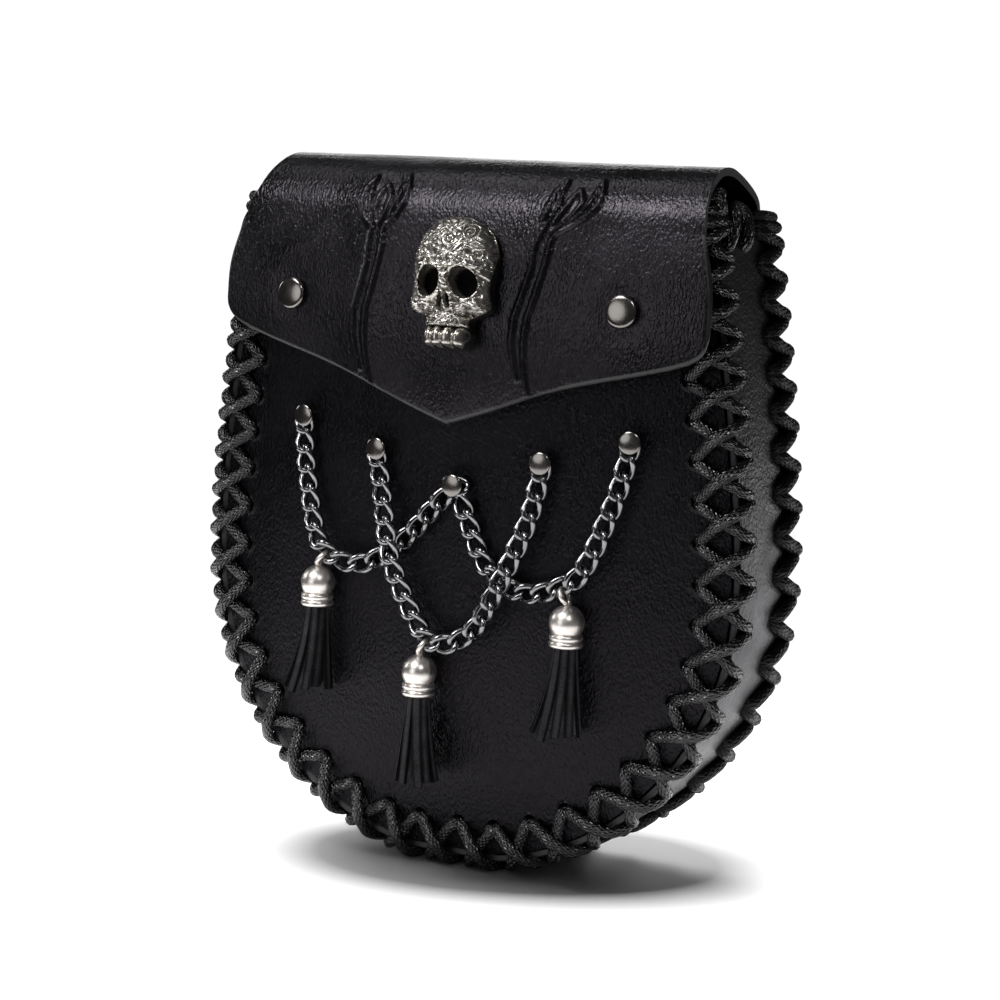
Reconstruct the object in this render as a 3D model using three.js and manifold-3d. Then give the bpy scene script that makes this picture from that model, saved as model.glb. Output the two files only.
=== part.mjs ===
// Belt pouch of black leather with laced edges, a pointed flap, a skull ornament, two chains and three tassels.
// Sizes are millimetres. X runs across, Y to the back and Z up, and the pouch stands on Z = 0.
import * as THREE from "three";
import { mergeVertices } from "three/addons/utils/BufferGeometryUtils.js";
import Module from "manifold-3d";

const wasm = await Module();
wasm.setup();

// Leather body
const LEATHER = 2.4;
const GAP = 0.3;
const BODY_HALF = 89.5;
const BODY_DROP = 91.5;
const WIDEST_HEIGHT = 95.4;
const MOUTH_HEIGHT = 213;
const MOUTH_HALF = 75.2;
const SIDE_PULL = 133.5;
const FOOT_HALF = 16;
const FRONT_Y = -20;
const BACK_Y = 20;
const MOUTH_FLARE = 5;
const CROWN = 7.5;
const CROWN_RISE = 110;
const CROWN_TOP = 165;
const CROWN_EASE = 0.65;
const GUSSET_BOW = 1.2;

// Rows and columns of the leather walls
const PANEL_ROWS = 10;
const PANEL_COLUMNS = 8;
const GUSSET_ROWS = 28;
const BACK_ROWS = 7;
const ARCH_ROWS = 9;
const TONGUE_ROWS = 4;
const FLAP_COLUMNS = 10;

// Flap: the fold over the top, drawn a little to the right, then the tongue down the front
const TONGUE_TOP = 203;
const TONGUE_TOP_HALF = 78.2;
const TONGUE_HALF = 82.5;
const TONGUE_Y = -41.5;
const TONGUE_MIDDLE = 173;
const TONGUE_CURL = 3.5;
const TONGUE_SPAN = 31;
const EDGE_FALL = 4;
const NECK = 4.2;
const FOLD_SHIFT = 3.8;
const FOLD_TILT = 0.011;
const FOLD = [
  { depth: BACK_Y, height: 211 },
  { depth: 18.4, height: 214.6 },
  { depth: 14, height: 217.5 },
  { depth: 7, height: 220.2 },
  { depth: -2, height: 222.7 },
  { depth: -11.5, height: 224.2 },
  { depth: -21.5, height: 223 },
  { depth: -30.5, height: 217.8 },
  { depth: -36, height: 210.2 },
  { depth: -38.2, height: TONGUE_TOP },
];
const TONGUE_EDGE = [
  { across: 0, height: 141.9 },
  { across: 10, height: 143.6 },
  { across: 23, height: 150.2 },
  { across: 37, height: 157.1 },
  { across: 54, height: 160.8 },
  { across: 70, height: 163.6 },
  { across: 79, height: 168 },
  { across: TONGUE_HALF, height: 177 },
];

// Belt loop on the back
const LOOP_HALF = 32;
const LOOP_PROFILE = [
  { height: 110, off: GAP },
  { height: 122, off: GAP },
  { height: 129, off: 7 },
  { height: 177, off: 7 },
  { height: 184, off: GAP },
  { height: 196, off: GAP },
];

// Lacing: crossed cord round the edge, in pairs of holes
const LACES = 42;
const LACE_ENDS = 0.005;
const HOLE_REACH = 11;
const CROSS_REACH = 4.5;
const HOLE_LACE = 2.2;
const CROSS_LACE = 3.6;
const CORNER_LACE = 5.07;
const CORNER_ROUND = 0.55;

// Rivets: where they sit, across and up
const RIVET_SIDES = 8;
const CHAIN_RIVETS = [
  { name: "chain_rivet_1", across: -56.6, height: 141.1 },
  { name: "chain_rivet_2", across: -28.9, height: 132.8 },
  { name: "chain_rivet_3", across: 0, height: 123.6 },
  { name: "chain_rivet_4", across: 28.9, height: 132.8 },
  { name: "chain_rivet_5", across: 56.6, height: 141.1 },
];
const CHAIN_RIVET_PROFILE = [
  { radius: 0, rise: 0 },
  { radius: 1, rise: 0 },
  { radius: 1, rise: 4.9 },
  { radius: 3.5, rise: 4.9 },
  { radius: 3.5, rise: 5.9 },
  { radius: 2.4, rise: 6.7 },
  { radius: 0, rise: 6.9 },
];
const FLAP_RIVETS = [
  { name: "flap_rivet_left", across: -56 },
  { name: "flap_rivet_right", across: 56 },
];
const FLAP_RIVET_HEIGHT = 179.7;
const FLAP_RIVET_PROFILE = [
  { radius: 0, rise: 0.3 },
  { radius: 4.7, rise: 0.3 },
  { radius: 4.9, rise: 0.9 },
  { radius: 4.4, rise: 1.7 },
  { radius: 2.6, rise: 2.4 },
  { radius: 0, rise: 2.6 },
];

// Chains: routes over the front panel, with the lift off the leather
const LINK_PITCH = 7.1;
const LINK_BITE = 0.25;
const LINK_SIDE = 2.45;
const LINK_TWIST = 1.05;
const LINK_WIRE = 0.8;
const LINK_HALF = (LINK_PITCH - LINK_BITE) / 2 + LINK_WIRE;
const LINK_STEPS = 10;
const WIRE_SIDES = 5;
const OUTER_LEFT = [
  { across: -56.3, height: 139.5, lift: 2.8 },
  { across: -55.6, height: 130.5, lift: 3.2 },
  { across: -53.6, height: 120.5, lift: 4 },
  { across: -51, height: 110, lift: 5 },
  { across: -48, height: 102, lift: 6 },
  { across: -43.5, height: 97.8, lift: 6 },
  { across: -37.5, height: 95.3, lift: 4.6 },
  { across: -31, height: 95.8, lift: 3 },
  { across: -24.2, height: 100, lift: 2.4 },
  { across: -15.8, height: 106.6, lift: 2.4 },
  { across: -8.5, height: 114.6, lift: 2.6 },
  { across: 0, height: 123.2, lift: 2.8 },
];
const OUTER_RIGHT = [
  { across: 0, height: 123.2, lift: 2.8 },
  { across: 4.6, height: 112, lift: 2.6 },
  { across: 8.6, height: 102.6, lift: 2.4 },
  { across: 13, height: 96.8, lift: 2.4 },
  { across: 19, height: 93, lift: 2.6 },
  { across: 27.6, height: 92.1, lift: 4 },
  { across: 35.5, height: 95, lift: 5.4 },
  { across: 42, height: 99, lift: 6 },
  { across: 46.5, height: 107, lift: 5.4 },
  { across: 50.2, height: 117.3, lift: 4.2 },
  { across: 53.1, height: 125.9, lift: 3.4 },
  { across: 56.3, height: 139.5, lift: 2.8 },
];
const INNER = [
  { across: -28.6, height: 131.2, lift: 2.8 },
  { across: -26.4, height: 123, lift: 3.6 },
  { across: -23.8, height: 113.2, lift: 5.6 },
  { across: -20.9, height: 101, lift: 7 },
  { across: -17, height: 90, lift: 6.4 },
  { across: -12.1, height: 80.8, lift: 6 },
  { across: -8.2, height: 75.5, lift: 6.2 },
  { across: -3.2, height: 73.4, lift: 6.2 },
  { across: 2.4, height: 74.8, lift: 5.6 },
  { across: 8.2, height: 78.8, lift: 5.2 },
  { across: 13.4, height: 86.6, lift: 6.4 },
  { across: 17, height: 94, lift: 7 },
  { across: 22.2, height: 106.1, lift: 5.6 },
  { across: 26.2, height: 118.5, lift: 3.8 },
  { across: 28.6, height: 131.2, lift: 2.8 },
];

// Tassels: a ball cap with two rings and an eye, over a fringe of strips
const CAP_SIDES = 8;
const CAP_PROFILE = [
  { radius: 0, rise: 3 },
  { radius: 4.3, rise: 3 },
  { radius: 4.3, rise: 0 },
  { radius: 5.2, rise: 0.2 },
  { radius: 5.2, rise: 1.7 },
  { radius: 4.7, rise: 2.05 },
  { radius: 5.2, rise: 2.4 },
  { radius: 5.2, rise: 3.9 },
  { radius: 4.6, rise: 4.3 },
  { radius: 5.5, rise: 7.4 },
  { radius: 4.6, rise: 10.4 },
  { radius: 2.6, rise: 12.2 },
  { radius: 1.2, rise: 12.8 },
  { radius: 1.2, rise: 14.2 },
  { radius: 0, rise: 14.2 },
];
const EYE_RADIUS = 2.3;
const EYE_WIRE = 0.7;
const EYE_RISE = 13.6;
const STRIPS = 6;
const STRIP_WIDTH = 2.7;
const STRIP_THICK = 1.1;
const STRIP_TOP = 1;
const STRIP_LONG = 29.5;
const STRIP_RING = 2.9;
const STRIP_SPREAD = 2.6;
const FRINGE_HEAD = 3.6;
const TASSELS = [
  { side: "left", near: -43.8, sweep: -4.5 },
  { side: "middle", near: -5, sweep: 2 },
  { side: "right", near: 38.6, sweep: -4 },
];

// Skull ornament: height on the flap and lean with the leather
const SKULL_HEIGHT = 186.4;
const SKULL_LEAN = 0.094;
const SKULL_STAND = 0.4;

// Value of a table's column at a place along another column, with straight lines between rows.
function tableAt(table, key, column, at) {
  const next = table.findIndex((row) => row[key] >= at);
  if (next <= 0) {
    return next === 0 ? table[0][column] : table[table.length - 1][column];
  }
  const low = table[next - 1];
  const high = table[next];
  const share = (at - low[key]) / (high[key] - low[key]);
  return THREE.MathUtils.lerp(low[column], high[column], share);
}

// Outline of the front and back panels, from the left of the mouth round the bottom to the right.
const outline = new THREE.Path();
outline.moveTo(-MOUTH_HALF, MOUTH_HEIGHT);
outline.quadraticCurveTo(-BODY_HALF, SIDE_PULL, -BODY_HALF, WIDEST_HEIGHT);
outline.absellipse(0, WIDEST_HEIGHT, BODY_HALF, BODY_DROP, Math.PI, 2 * Math.PI, false);
outline.quadraticCurveTo(BODY_HALF, SIDE_PULL, MOUTH_HALF, MOUTH_HEIGHT);
const footShare = FOOT_HALF / BODY_HALF;
const FOOT_HEIGHT = WIDEST_HEIGHT - BODY_DROP * Math.sqrt(1 - footShare * footShare);
const FOOT_AT = 0.5 - (FOOT_HALF * 1.006) / outline.getLength();

// A place on the outline with its outward direction, flattened where the pouch stands.
function edgeAt(share) {
  const step = 0.001;
  const before = outline.getPointAt(Math.max(0, share - step));
  const after = outline.getPointAt(Math.min(1, share + step));
  const here = outline.getPointAt(share);
  const out = new THREE.Vector2(after.y - before.y, before.x - after.x).normalize();
  if (Math.abs(here.x) <= FOOT_HALF && here.y < WIDEST_HEIGHT) {
    return { x: here.x, z: FOOT_HEIGHT, out: new THREE.Vector2(0, -1), foot: true };
  }
  return { x: here.x, z: here.y, out, foot: false };
}

// Half of the panels' width at a height.
function halfWidth(z) {
  if (z < WIDEST_HEIGHT) {
    const drop = (WIDEST_HEIGHT - z) / BODY_DROP;
    return BODY_HALF * Math.sqrt(Math.max(0, 1 - drop * drop));
  }
  const bend = WIDEST_HEIGHT - 2 * SIDE_PULL + MOUTH_HEIGHT;
  const slope = 2 * (SIDE_PULL - WIDEST_HEIGHT);
  const t = (Math.sqrt(slope * slope + 4 * bend * (z - WIDEST_HEIGHT)) - slope) / (2 * bend);
  return BODY_HALF - t * t * (BODY_HALF - MOUTH_HALF);
}

// The front edge leans out towards the mouth, and the front panel is crowned between its edges.
function frontEdgeY(z) {
  const up = Math.max(0, (z - WIDEST_HEIGHT) / (MOUTH_HEIGHT - WIDEST_HEIGHT));
  return FRONT_Y - MOUTH_FLARE * up;
}

function frontY(x, z) {
  const up = Math.min(1, Math.max(0, (z - FOOT_HEIGHT) / CROWN_RISE));
  const rise = 1 - (1 - up) * (1 - up);
  const near = Math.min(1, Math.max(0, (z - CROWN_TOP) / (MOUTH_HEIGHT - CROWN_TOP)));
  const share = x / halfWidth(z);
  const crown = CROWN * rise * (1 - CROWN_EASE * near * near);
  return frontEdgeY(z) - crown * Math.max(0, 1 - share * share);
}

function tongueY(x, z) {
  const curl = (z - TONGUE_MIDDLE) / TONGUE_SPAN;
  const fall = x / TONGUE_HALF;
  return TONGUE_Y + TONGUE_CURL * curl * curl + EDGE_FALL * fall * fall;
}

// Outward direction of a surface that gives Y from X and Z and faces the front.
function frontNormal(surfaceY, x, z) {
  const step = 0.5;
  const slopeX = (surfaceY(x + step, z) - surfaceY(x - step, z)) / (2 * step);
  const slopeZ = (surfaceY(x, z + step) - surfaceY(x, z - step)) / (2 * step);
  return new THREE.Vector3(slopeX, -1, slopeZ).normalize();
}

// A box of columns and rows, one step thick, whose corners move to the places that placeAt gives.
function wall(columns, rows, placeAt) {
  const box = new THREE.BoxGeometry(1, 1, 1, columns, rows, 1);
  const corners = box.getAttribute("position");
  for (let i = 0; i < corners.count; i++) {
    const across = corners.getX(i) + 0.5;
    const along = corners.getY(i) + 0.5;
    const place = placeAt(across, along, corners.getZ(i) + 0.5);
    corners.setXYZ(i, place.x, place.y, place.z);
  }
  box.computeVertexNormals();
  return box;
}

// A leather wall under an outer face, of even thickness.
function leather(columns, rows, faceAt) {
  const step = 0.002;
  return wall(columns, rows, (across, along, side) => {
    const right = faceAt(Math.min(1, across + step), along);
    const left = faceAt(Math.max(0, across - step), along);
    const above = faceAt(across, Math.min(1, along + step));
    const below = faceAt(across, Math.max(0, along - step));
    const out = right.sub(left).cross(above.sub(below)).normalize();
    return faceAt(across, along).addScaledVector(out, (side - 1) * LEATHER);
  });
}

function frontPanel() {
  return leather(PANEL_COLUMNS, PANEL_ROWS, (across, along) => {
    const edge = edgeAt(FOOT_AT * (1 - along));
    const x = edge.x * (1 - 2 * across);
    return new THREE.Vector3(x, frontY(x, edge.z), edge.z);
  });
}

// How far the gusset bows out of the outline at a depth.
function gussetBow(y, z) {
  const front = frontEdgeY(z);
  const share = (2 * (y - front)) / (BACK_Y - front) - 1;
  return GUSSET_BOW * Math.max(0, 1 - share * share);
}

function gusset() {
  return leather(2, GUSSET_ROWS, (across, along) => {
    const edge = edgeAt(THREE.MathUtils.lerp(0.008, 0.992, along));
    const front = frontEdgeY(edge.z) + LEATHER + GAP;
    const y = THREE.MathUtils.lerp(front, BACK_Y - LEATHER - GAP, across);
    const bow = edge.foot ? 0 : gussetBow(y, edge.z);
    return new THREE.Vector3(edge.x + edge.out.x * bow, y, edge.z + edge.out.y * bow);
  });
}

// Back panel, fold and tongue in one sheet. Columns crowd towards the side edges.
function backAndFlap() {
  const fold = new THREE.SplineCurve(FOLD.map((row) => new THREE.Vector2(row.depth, row.height)));
  const foldAt = (MOUTH_HEIGHT - FOLD[0].height) / outline.getLength();
  const foldHalf = -edgeAt(foldAt).x;
  const rows = BACK_ROWS + ARCH_ROWS + TONGUE_ROWS;
  return leather(FLAP_COLUMNS, rows, (across, along) => {
    const row = along * rows;
    const side = Math.sin((0.5 - across) * Math.PI);
    if (row <= BACK_ROWS) {
      const edge = edgeAt(THREE.MathUtils.lerp(FOOT_AT, foldAt, row / BACK_ROWS));
      return new THREE.Vector3(-edge.x * side, BACK_Y, edge.z);
    }
    if (row <= BACK_ROWS + ARCH_ROWS) {
      const share = (row - BACK_ROWS) / ARCH_ROWS;
      const place = fold.getPoint(share);
      const bend = Math.sin(Math.PI * share);
      const half = THREE.MathUtils.lerp(foldHalf, TONGUE_TOP_HALF, share) - NECK * bend;
      const x = half * side + FOLD_SHIFT * bend;
      const fall = EDGE_FALL * ((share * side * TONGUE_TOP_HALF) / TONGUE_HALF) ** 2;
      return new THREE.Vector3(x, place.x + fall, place.y - FOLD_TILT * bend * x);
    }
    const share = (row - BACK_ROWS - ARCH_ROWS) / TONGUE_ROWS;
    const x = side * THREE.MathUtils.lerp(TONGUE_TOP_HALF, TONGUE_HALF, Math.min(1, 1.6 * share));
    const low = tableAt(TONGUE_EDGE, "across", "height", Math.abs(x));
    const z = THREE.MathUtils.lerp(TONGUE_TOP, low, share);
    return new THREE.Vector3(x, tongueY(x, z), z);
  });
}

function beltLoop() {
  return wall(1, LOOP_PROFILE.length - 1, (across, along, side) => {
    const row = LOOP_PROFILE[Math.round(along * (LOOP_PROFILE.length - 1))];
    const x = THREE.MathUtils.lerp(LOOP_HALF, -LOOP_HALF, across);
    return new THREE.Vector3(x, BACK_Y + row.off + side * LEATHER, row.height);
  });
}

// A band of crossed lacing over the corner of a panel and the gusset.
// It reaches in to each pair of holes and draws back to the crossing between them.
function lacing(forward) {
  const faceY = forward < 0 ? frontY : () => BACK_Y;
  const cornerY = forward < 0 ? frontEdgeY : () => BACK_Y;
  return wall(2, 2 * LACES, (across, along, side) => {
    const edge = edgeAt(THREE.MathUtils.lerp(LACE_ENDS, 1 - LACE_ENDS, along));
    const hole = Math.round(along * 2 * LACES) % 2 === 1;
    const reach = hole ? HOLE_REACH : CROSS_REACH;
    const tip = GAP + side * (hole ? HOLE_LACE : CROSS_LACE);
    const turn = forward < 0 ? across : 1 - across;
    const pressed = edge.foot && side === 1;
    if (turn < 0.25) {
      const x = edge.x - edge.out.x * reach;
      const z = edge.z - edge.out.y * reach;
      return new THREE.Vector3(x, faceY(x, z) + forward * tip, z);
    }
    if (turn < 0.75) {
      const off = GAP + side * CORNER_LACE * CORNER_ROUND;
      const away = GAP + side * CORNER_LACE;
      const z = pressed ? 0 : Math.max(0, edge.z + edge.out.y * away);
      return new THREE.Vector3(edge.x + edge.out.x * away, cornerY(edge.z) + forward * off, z);
    }
    const y = cornerY(edge.z) - forward * reach;
    const off = tip + gussetBow(y, edge.z);
    const z = pressed ? 0 : Math.max(0, edge.z + edge.out.y * off);
    return new THREE.Vector3(edge.x + edge.out.x * off, y, z);
  });
}

// A round piece turned from a profile, standing along Z.
function turned(profile, sides) {
  const points = profile.map((row) => new THREE.Vector2(row.radius, row.rise));
  return new THREE.LatheGeometry(points, sides).rotateX(Math.PI / 2);
}

// Moves a piece that stands along Z on to a place, standing along a direction.
function seated(geometry, place, direction) {
  const turn = new THREE.Quaternion().setFromUnitVectors(new THREE.Vector3(0, 0, 1), direction);
  return geometry.applyQuaternion(turn).translate(place.x, place.y, place.z);
}

function rivet(profile, sides, surfaceY, x, z) {
  const out = frontNormal(surfaceY, x, z);
  const place = new THREE.Vector3(x, surfaceY(x, z), z).addScaledVector(out, GAP);
  return seated(turned(profile, sides), place, out);
}

function solidOf(geometry) {
  const loose = geometry.index ? geometry.toNonIndexed() : geometry;
  const bare = new THREE.BufferGeometry().setAttribute("position", loose.getAttribute("position"));
  const merged = mergeVertices(bare, 1e-4);
  const vertProperties = merged.getAttribute("position").array;
  const triVerts = new Uint32Array(merged.index.array);
  return new wasm.Manifold(new wasm.Mesh({ numProp: 3, vertProperties, triVerts }));
}

function geometryOf(solid) {
  const mesh = solid.getMesh();
  const made = new THREE.BufferGeometry();
  made.setAttribute("position", new THREE.BufferAttribute(new Float32Array(mesh.vertProperties), 3));
  made.setIndex(new THREE.BufferAttribute(new Uint32Array(mesh.triVerts), 1));
  made.computeVertexNormals();
  return made;
}

function joined(geometries) {
  return geometryOf(geometries.map(solidOf).reduce((all, one) => all.add(one)));
}

// One link along X: a ring drawn out to an oval and twisted, so that each link passes through the next.
// A ridge of the wire runs round the inside, where the next link bears.
function link() {
  const ring = new THREE.TorusGeometry(LINK_HALF, LINK_WIRE, WIRE_SIDES, LINK_STEPS);
  const corners = ring.getAttribute("position");
  for (let i = 0; i < corners.count; i++) {
    const turn = Math.atan2(corners.getY(i), corners.getX(i));
    const out = Math.hypot(corners.getX(i), corners.getY(i)) - LINK_HALF;
    const round = Math.atan2(corners.getZ(i), out) + Math.PI / WIRE_SIDES;
    const cos = Math.cos(turn);
    const sin = Math.sin(turn);
    const way = new THREE.Vector3(-LINK_HALF * sin, LINK_SIDE * cos, 2 * LINK_TWIST * Math.cos(2 * turn));
    const away = new THREE.Vector3(LINK_SIDE * cos, LINK_HALF * sin, 0).normalize();
    const place = new THREE.Vector3(LINK_HALF * cos, LINK_SIDE * sin, LINK_TWIST * Math.sin(2 * turn));
    place.addScaledVector(away, LINK_WIRE * Math.cos(round));
    place.addScaledVector(away.cross(way).normalize(), LINK_WIRE * Math.sin(round));
    corners.setXYZ(i, place.x, place.y, place.z);
  }
  return ring;
}

// Evenly spaced places along a route over the front panel.
function linkPlaces(route) {
  const points = route.map((row) => {
    const place = new THREE.Vector3(row.across, frontY(row.across, row.height), row.height);
    return place.addScaledVector(frontNormal(frontY, row.across, row.height), row.lift);
  });
  const curve = new THREE.CatmullRomCurve3(points, false, "centripetal");
  return curve.getSpacedPoints(Math.round(curve.getLength() / LINK_PITCH));
}

// Each link's frame: along the chain, to its side and off the leather.
function linkFrames(places) {
  return places.map((centre, i) => {
    const next = places[Math.min(i + 1, places.length - 1)];
    const last = places[Math.max(i - 1, 0)];
    const along = next.clone().sub(last).normalize();
    const out = frontNormal(frontY, centre.x, centre.z);
    const side = out.clone().cross(along).normalize();
    return { centre, along, side, out: along.clone().cross(side) };
  });
}

function chain(frames) {
  const links = frames.map((frame) => {
    const turn = new THREE.Matrix4().makeBasis(frame.along, frame.side, frame.out);
    return link().applyMatrix4(turn.setPosition(frame.centre));
  });
  return joined(links);
}

// Where a tassel hangs: its eye goes round the lower wire of the link nearest to a place across.
function hangingAt(frames, near) {
  const low = frames.filter((frame) => frame.centre.z < 104);
  const distance = (frame) => Math.abs(frame.centre.x - near);
  const held = low.reduce((best, frame) => (distance(frame) < distance(best) ? frame : best));
  const up = held.side.clone().multiplyScalar(held.side.z < 0 ? -1 : 1);
  const slack = 2 * EYE_RADIUS - EYE_WIRE - LINK_WIRE - GAP;
  const foot = held.centre.clone().addScaledVector(up, -LINK_SIDE - slack);
  return { along: held.along, up, foot: foot.setZ(foot.z - EYE_RISE) };
}

function tasselCap(along, up) {
  const eye = new THREE.TorusGeometry(EYE_RADIUS, EYE_WIRE, WIRE_SIDES, LINK_STEPS);
  const centre = up.clone().multiplyScalar(EYE_RADIUS).add(new THREE.Vector3(0, 0, EYE_RISE));
  return joined([turned(CAP_PROFILE, CAP_SIDES), seated(eye, centre, along)]);
}

// Flat strips round a head, spreading and sweeping to one side as they hang.
function tasselFringe(sweep) {
  const head = new THREE.CylinderGeometry(FRINGE_HEAD, FRINGE_HEAD, 3.4, STRIPS);
  const pieces = [head.rotateX(Math.PI / 2).translate(0, 0, 1)];
  for (let i = 0; i < STRIPS; i++) {
    const turn = (2 * Math.PI * (i + 0.25)) / STRIPS;
    const strip = new THREE.BoxGeometry(STRIP_THICK, STRIP_WIDTH, STRIP_LONG);
    const corners = strip.getAttribute("position");
    for (let k = 0; k < corners.count; k++) {
      const hang = 0.5 - corners.getZ(k) / STRIP_LONG;
      const ring = STRIP_RING + STRIP_SPREAD * hang ** 1.5 + corners.getX(k);
      const x = ring * Math.cos(turn) - corners.getY(k) * Math.sin(turn) + sweep * hang * hang;
      const y = ring * Math.sin(turn) + corners.getY(k) * Math.cos(turn);
      corners.setXYZ(k, x, y, STRIP_TOP - hang * STRIP_LONG);
    }
    pieces.push(strip);
  }
  return joined(pieces);
}

// A rounded lump of the skull: half sizes across, up and out, about a centre.
function lump(around, rows, half, centre) {
  return new THREE.SphereGeometry(1, around, rows).scale(...half).translate(...centre);
}

// Skull in half relief, X across, Y up and Z out from its flat back.
function skull() {
  const cranium = lump(12, 8, [14, 15, 9], [0, 4.6, 0]);
  const cheeks = lump(8, 5, [11.8, 6.4, 8], [0, -6.2, 0]);
  const jaw = new THREE.CylinderGeometry(7, 5.6, 12, 8).translate(0, -13.8, 0);
  const brow = lump(8, 4, [10.5, 3.2, 3.6], [0, 2.6, 6.2]);
  const eyes = [-1, 1].map((side) => lump(8, 4, [4.1, 4.3, 5], [side * 5.4, -2, 8.4]));
  const nose = new THREE.ConeGeometry(2.3, 6.4, 4).scale(1, 1, 1.6).translate(0, -7.6, 7.4);
  const grooves = [-3.6, -1.2, 1.2, 3.6].map((x) => {
    return new THREE.BoxGeometry(0.7, 7, 4).translate(x, -16.4, 6.6);
  });
  const bite = new THREE.BoxGeometry(16, 0.8, 3.4).translate(0, -16, 6.6);
  const front = solidOf(new THREE.BoxGeometry(40, 60, 20).translate(0, 0, 10));
  const head = solidOf(joined([cranium, cheeks, jaw, brow])).intersect(front);
  const holes = [...eyes, nose, ...grooves, bite].map(solidOf);
  return geometryOf(holes.reduce((left, hole) => left.subtract(hole), head));
}

function seatedSkull() {
  const out = new THREE.Vector3(0, -1, SKULL_LEAN).normalize();
  const up = new THREE.Vector3(0, SKULL_LEAN, 1).normalize();
  const turn = new THREE.Matrix4().makeBasis(new THREE.Vector3(1, 0, 0), up, out);
  const place = new THREE.Vector3(0, tongueY(0, SKULL_HEIGHT), SKULL_HEIGHT);
  return skull().applyMatrix4(turn.setPosition(place.addScaledVector(out, SKULL_STAND)));
}

// Colours and finishes
const leatherBlack = new THREE.MeshStandardMaterial({ color: 0x211f23, roughness: 0.55, metalness: 0 });
const laceBlack = new THREE.MeshStandardMaterial({ color: 0x1a1a1c, roughness: 0.5, metalness: 0 });
const suedeBlack = new THREE.MeshStandardMaterial({ color: 0x1d1c1e, roughness: 0.9, metalness: 0 });
const nickel = new THREE.MeshStandardMaterial({ color: 0xc9c4ba, roughness: 0.2, metalness: 1 });
const gunmetal = new THREE.MeshStandardMaterial({ color: 0x77777a, roughness: 0.3, metalness: 1 });
const antiqueSilver = new THREE.MeshStandardMaterial({ color: 0x98979a, roughness: 0.4, metalness: 1 });

const pouch = new THREE.Group();
pouch.name = "belt_pouch";

function add(name, geometry, material) {
  const mesh = new THREE.Mesh(geometry, material);
  mesh.name = name;
  pouch.add(mesh);
}

add("front_panel", frontPanel(), leatherBlack);
add("gusset", gusset(), leatherBlack);
add("back_and_flap", backAndFlap(), leatherBlack);
add("belt_loop", beltLoop(), leatherBlack);
add("front_lacing", lacing(-1), laceBlack);
add("back_lacing", lacing(1), laceBlack);
add("skull_concho", seatedSkull(), antiqueSilver);

for (const row of FLAP_RIVETS) {
  const cap = rivet(FLAP_RIVET_PROFILE, 12, tongueY, row.across, FLAP_RIVET_HEIGHT);
  add(row.name, cap, nickel);
}
for (const row of CHAIN_RIVETS) {
  const post = rivet(CHAIN_RIVET_PROFILE, RIVET_SIDES, frontY, row.across, row.height);
  add(row.name, post, nickel);
}

const outerFrames = linkFrames([...linkPlaces(OUTER_LEFT), ...linkPlaces(OUTER_RIGHT).slice(1)]);
const innerFrames = linkFrames(linkPlaces(INNER));
add("chain_outer", chain(outerFrames), gunmetal);
add("chain_inner", chain(innerFrames), gunmetal);

for (const row of TASSELS) {
  const { along, up, foot } = hangingAt(row.side === "middle" ? innerFrames : outerFrames, row.near);
  const cap = tasselCap(along, up).translate(foot.x, foot.y, foot.z);
  const fringe = tasselFringe(row.sweep).translate(foot.x, foot.y, foot.z);
  add(`tassel_cap_${row.side}`, cap, nickel);
  add(`tassel_fringe_${row.side}`, fringe, suedeBlack);
}

// The frame's origin is under the middle of the whole pouch.
const bounds = new THREE.Box3().setFromObject(pouch, true);
pouch.children.forEach((mesh) => mesh.geometry.translate(0, -(bounds.min.y + bounds.max.y) / 2, 0));

export default pouch;
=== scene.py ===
import bisect
import math
from typing import NamedTuple

import bmesh
import bpy
from bpy.props import FloatProperty, FloatVectorProperty, IntProperty, PointerProperty
from mathutils import Matrix, Vector, noise


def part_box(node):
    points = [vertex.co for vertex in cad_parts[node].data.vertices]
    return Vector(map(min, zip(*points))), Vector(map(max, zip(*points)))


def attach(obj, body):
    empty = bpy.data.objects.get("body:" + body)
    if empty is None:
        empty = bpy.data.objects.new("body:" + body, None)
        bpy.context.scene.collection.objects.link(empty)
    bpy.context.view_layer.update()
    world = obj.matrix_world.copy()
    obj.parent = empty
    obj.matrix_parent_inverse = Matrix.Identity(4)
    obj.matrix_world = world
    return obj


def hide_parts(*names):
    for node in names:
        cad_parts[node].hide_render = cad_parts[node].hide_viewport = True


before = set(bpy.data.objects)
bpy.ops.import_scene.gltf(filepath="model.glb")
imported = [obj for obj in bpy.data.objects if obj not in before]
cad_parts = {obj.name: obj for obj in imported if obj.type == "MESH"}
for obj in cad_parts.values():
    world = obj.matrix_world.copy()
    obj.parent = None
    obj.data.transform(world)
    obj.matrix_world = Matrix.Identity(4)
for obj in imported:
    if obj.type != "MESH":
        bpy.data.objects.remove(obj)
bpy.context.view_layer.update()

bl_info = {
    "name": "Belt Pouch",
    "version": (1, 0, 0),
    "blender": (4, 5, 0),
    "location": "3D View > Sidebar > Belt Pouch",
    "description": "Black leather belt pouch with laced edges, a skull ornament, chains and tassels",
    "category": "Object",
}

MM = 0.001

# Leather body, in millimetres, with the solids' own values
GAP = 0.3
BODY_HALF = 89.5
BODY_DROP = 91.5
WIDEST_HEIGHT = 95.4
MOUTH_HEIGHT = 213.0
MOUTH_HALF = 75.2
SIDE_PULL = 133.5
FOOT_HALF = 16.0
FRONT_Y = -20.0
BACK_Y = 20.0
MOUTH_FLARE = 5.0
CROWN = 7.5
CROWN_RISE = 110.0
CROWN_TOP = 165.0
CROWN_EASE = 0.65
SIDE_STEPS = 200
BOTTOM_STEPS = 400
GUSSET_ENDS = 0.008
LEATHER = 2.4

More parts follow.
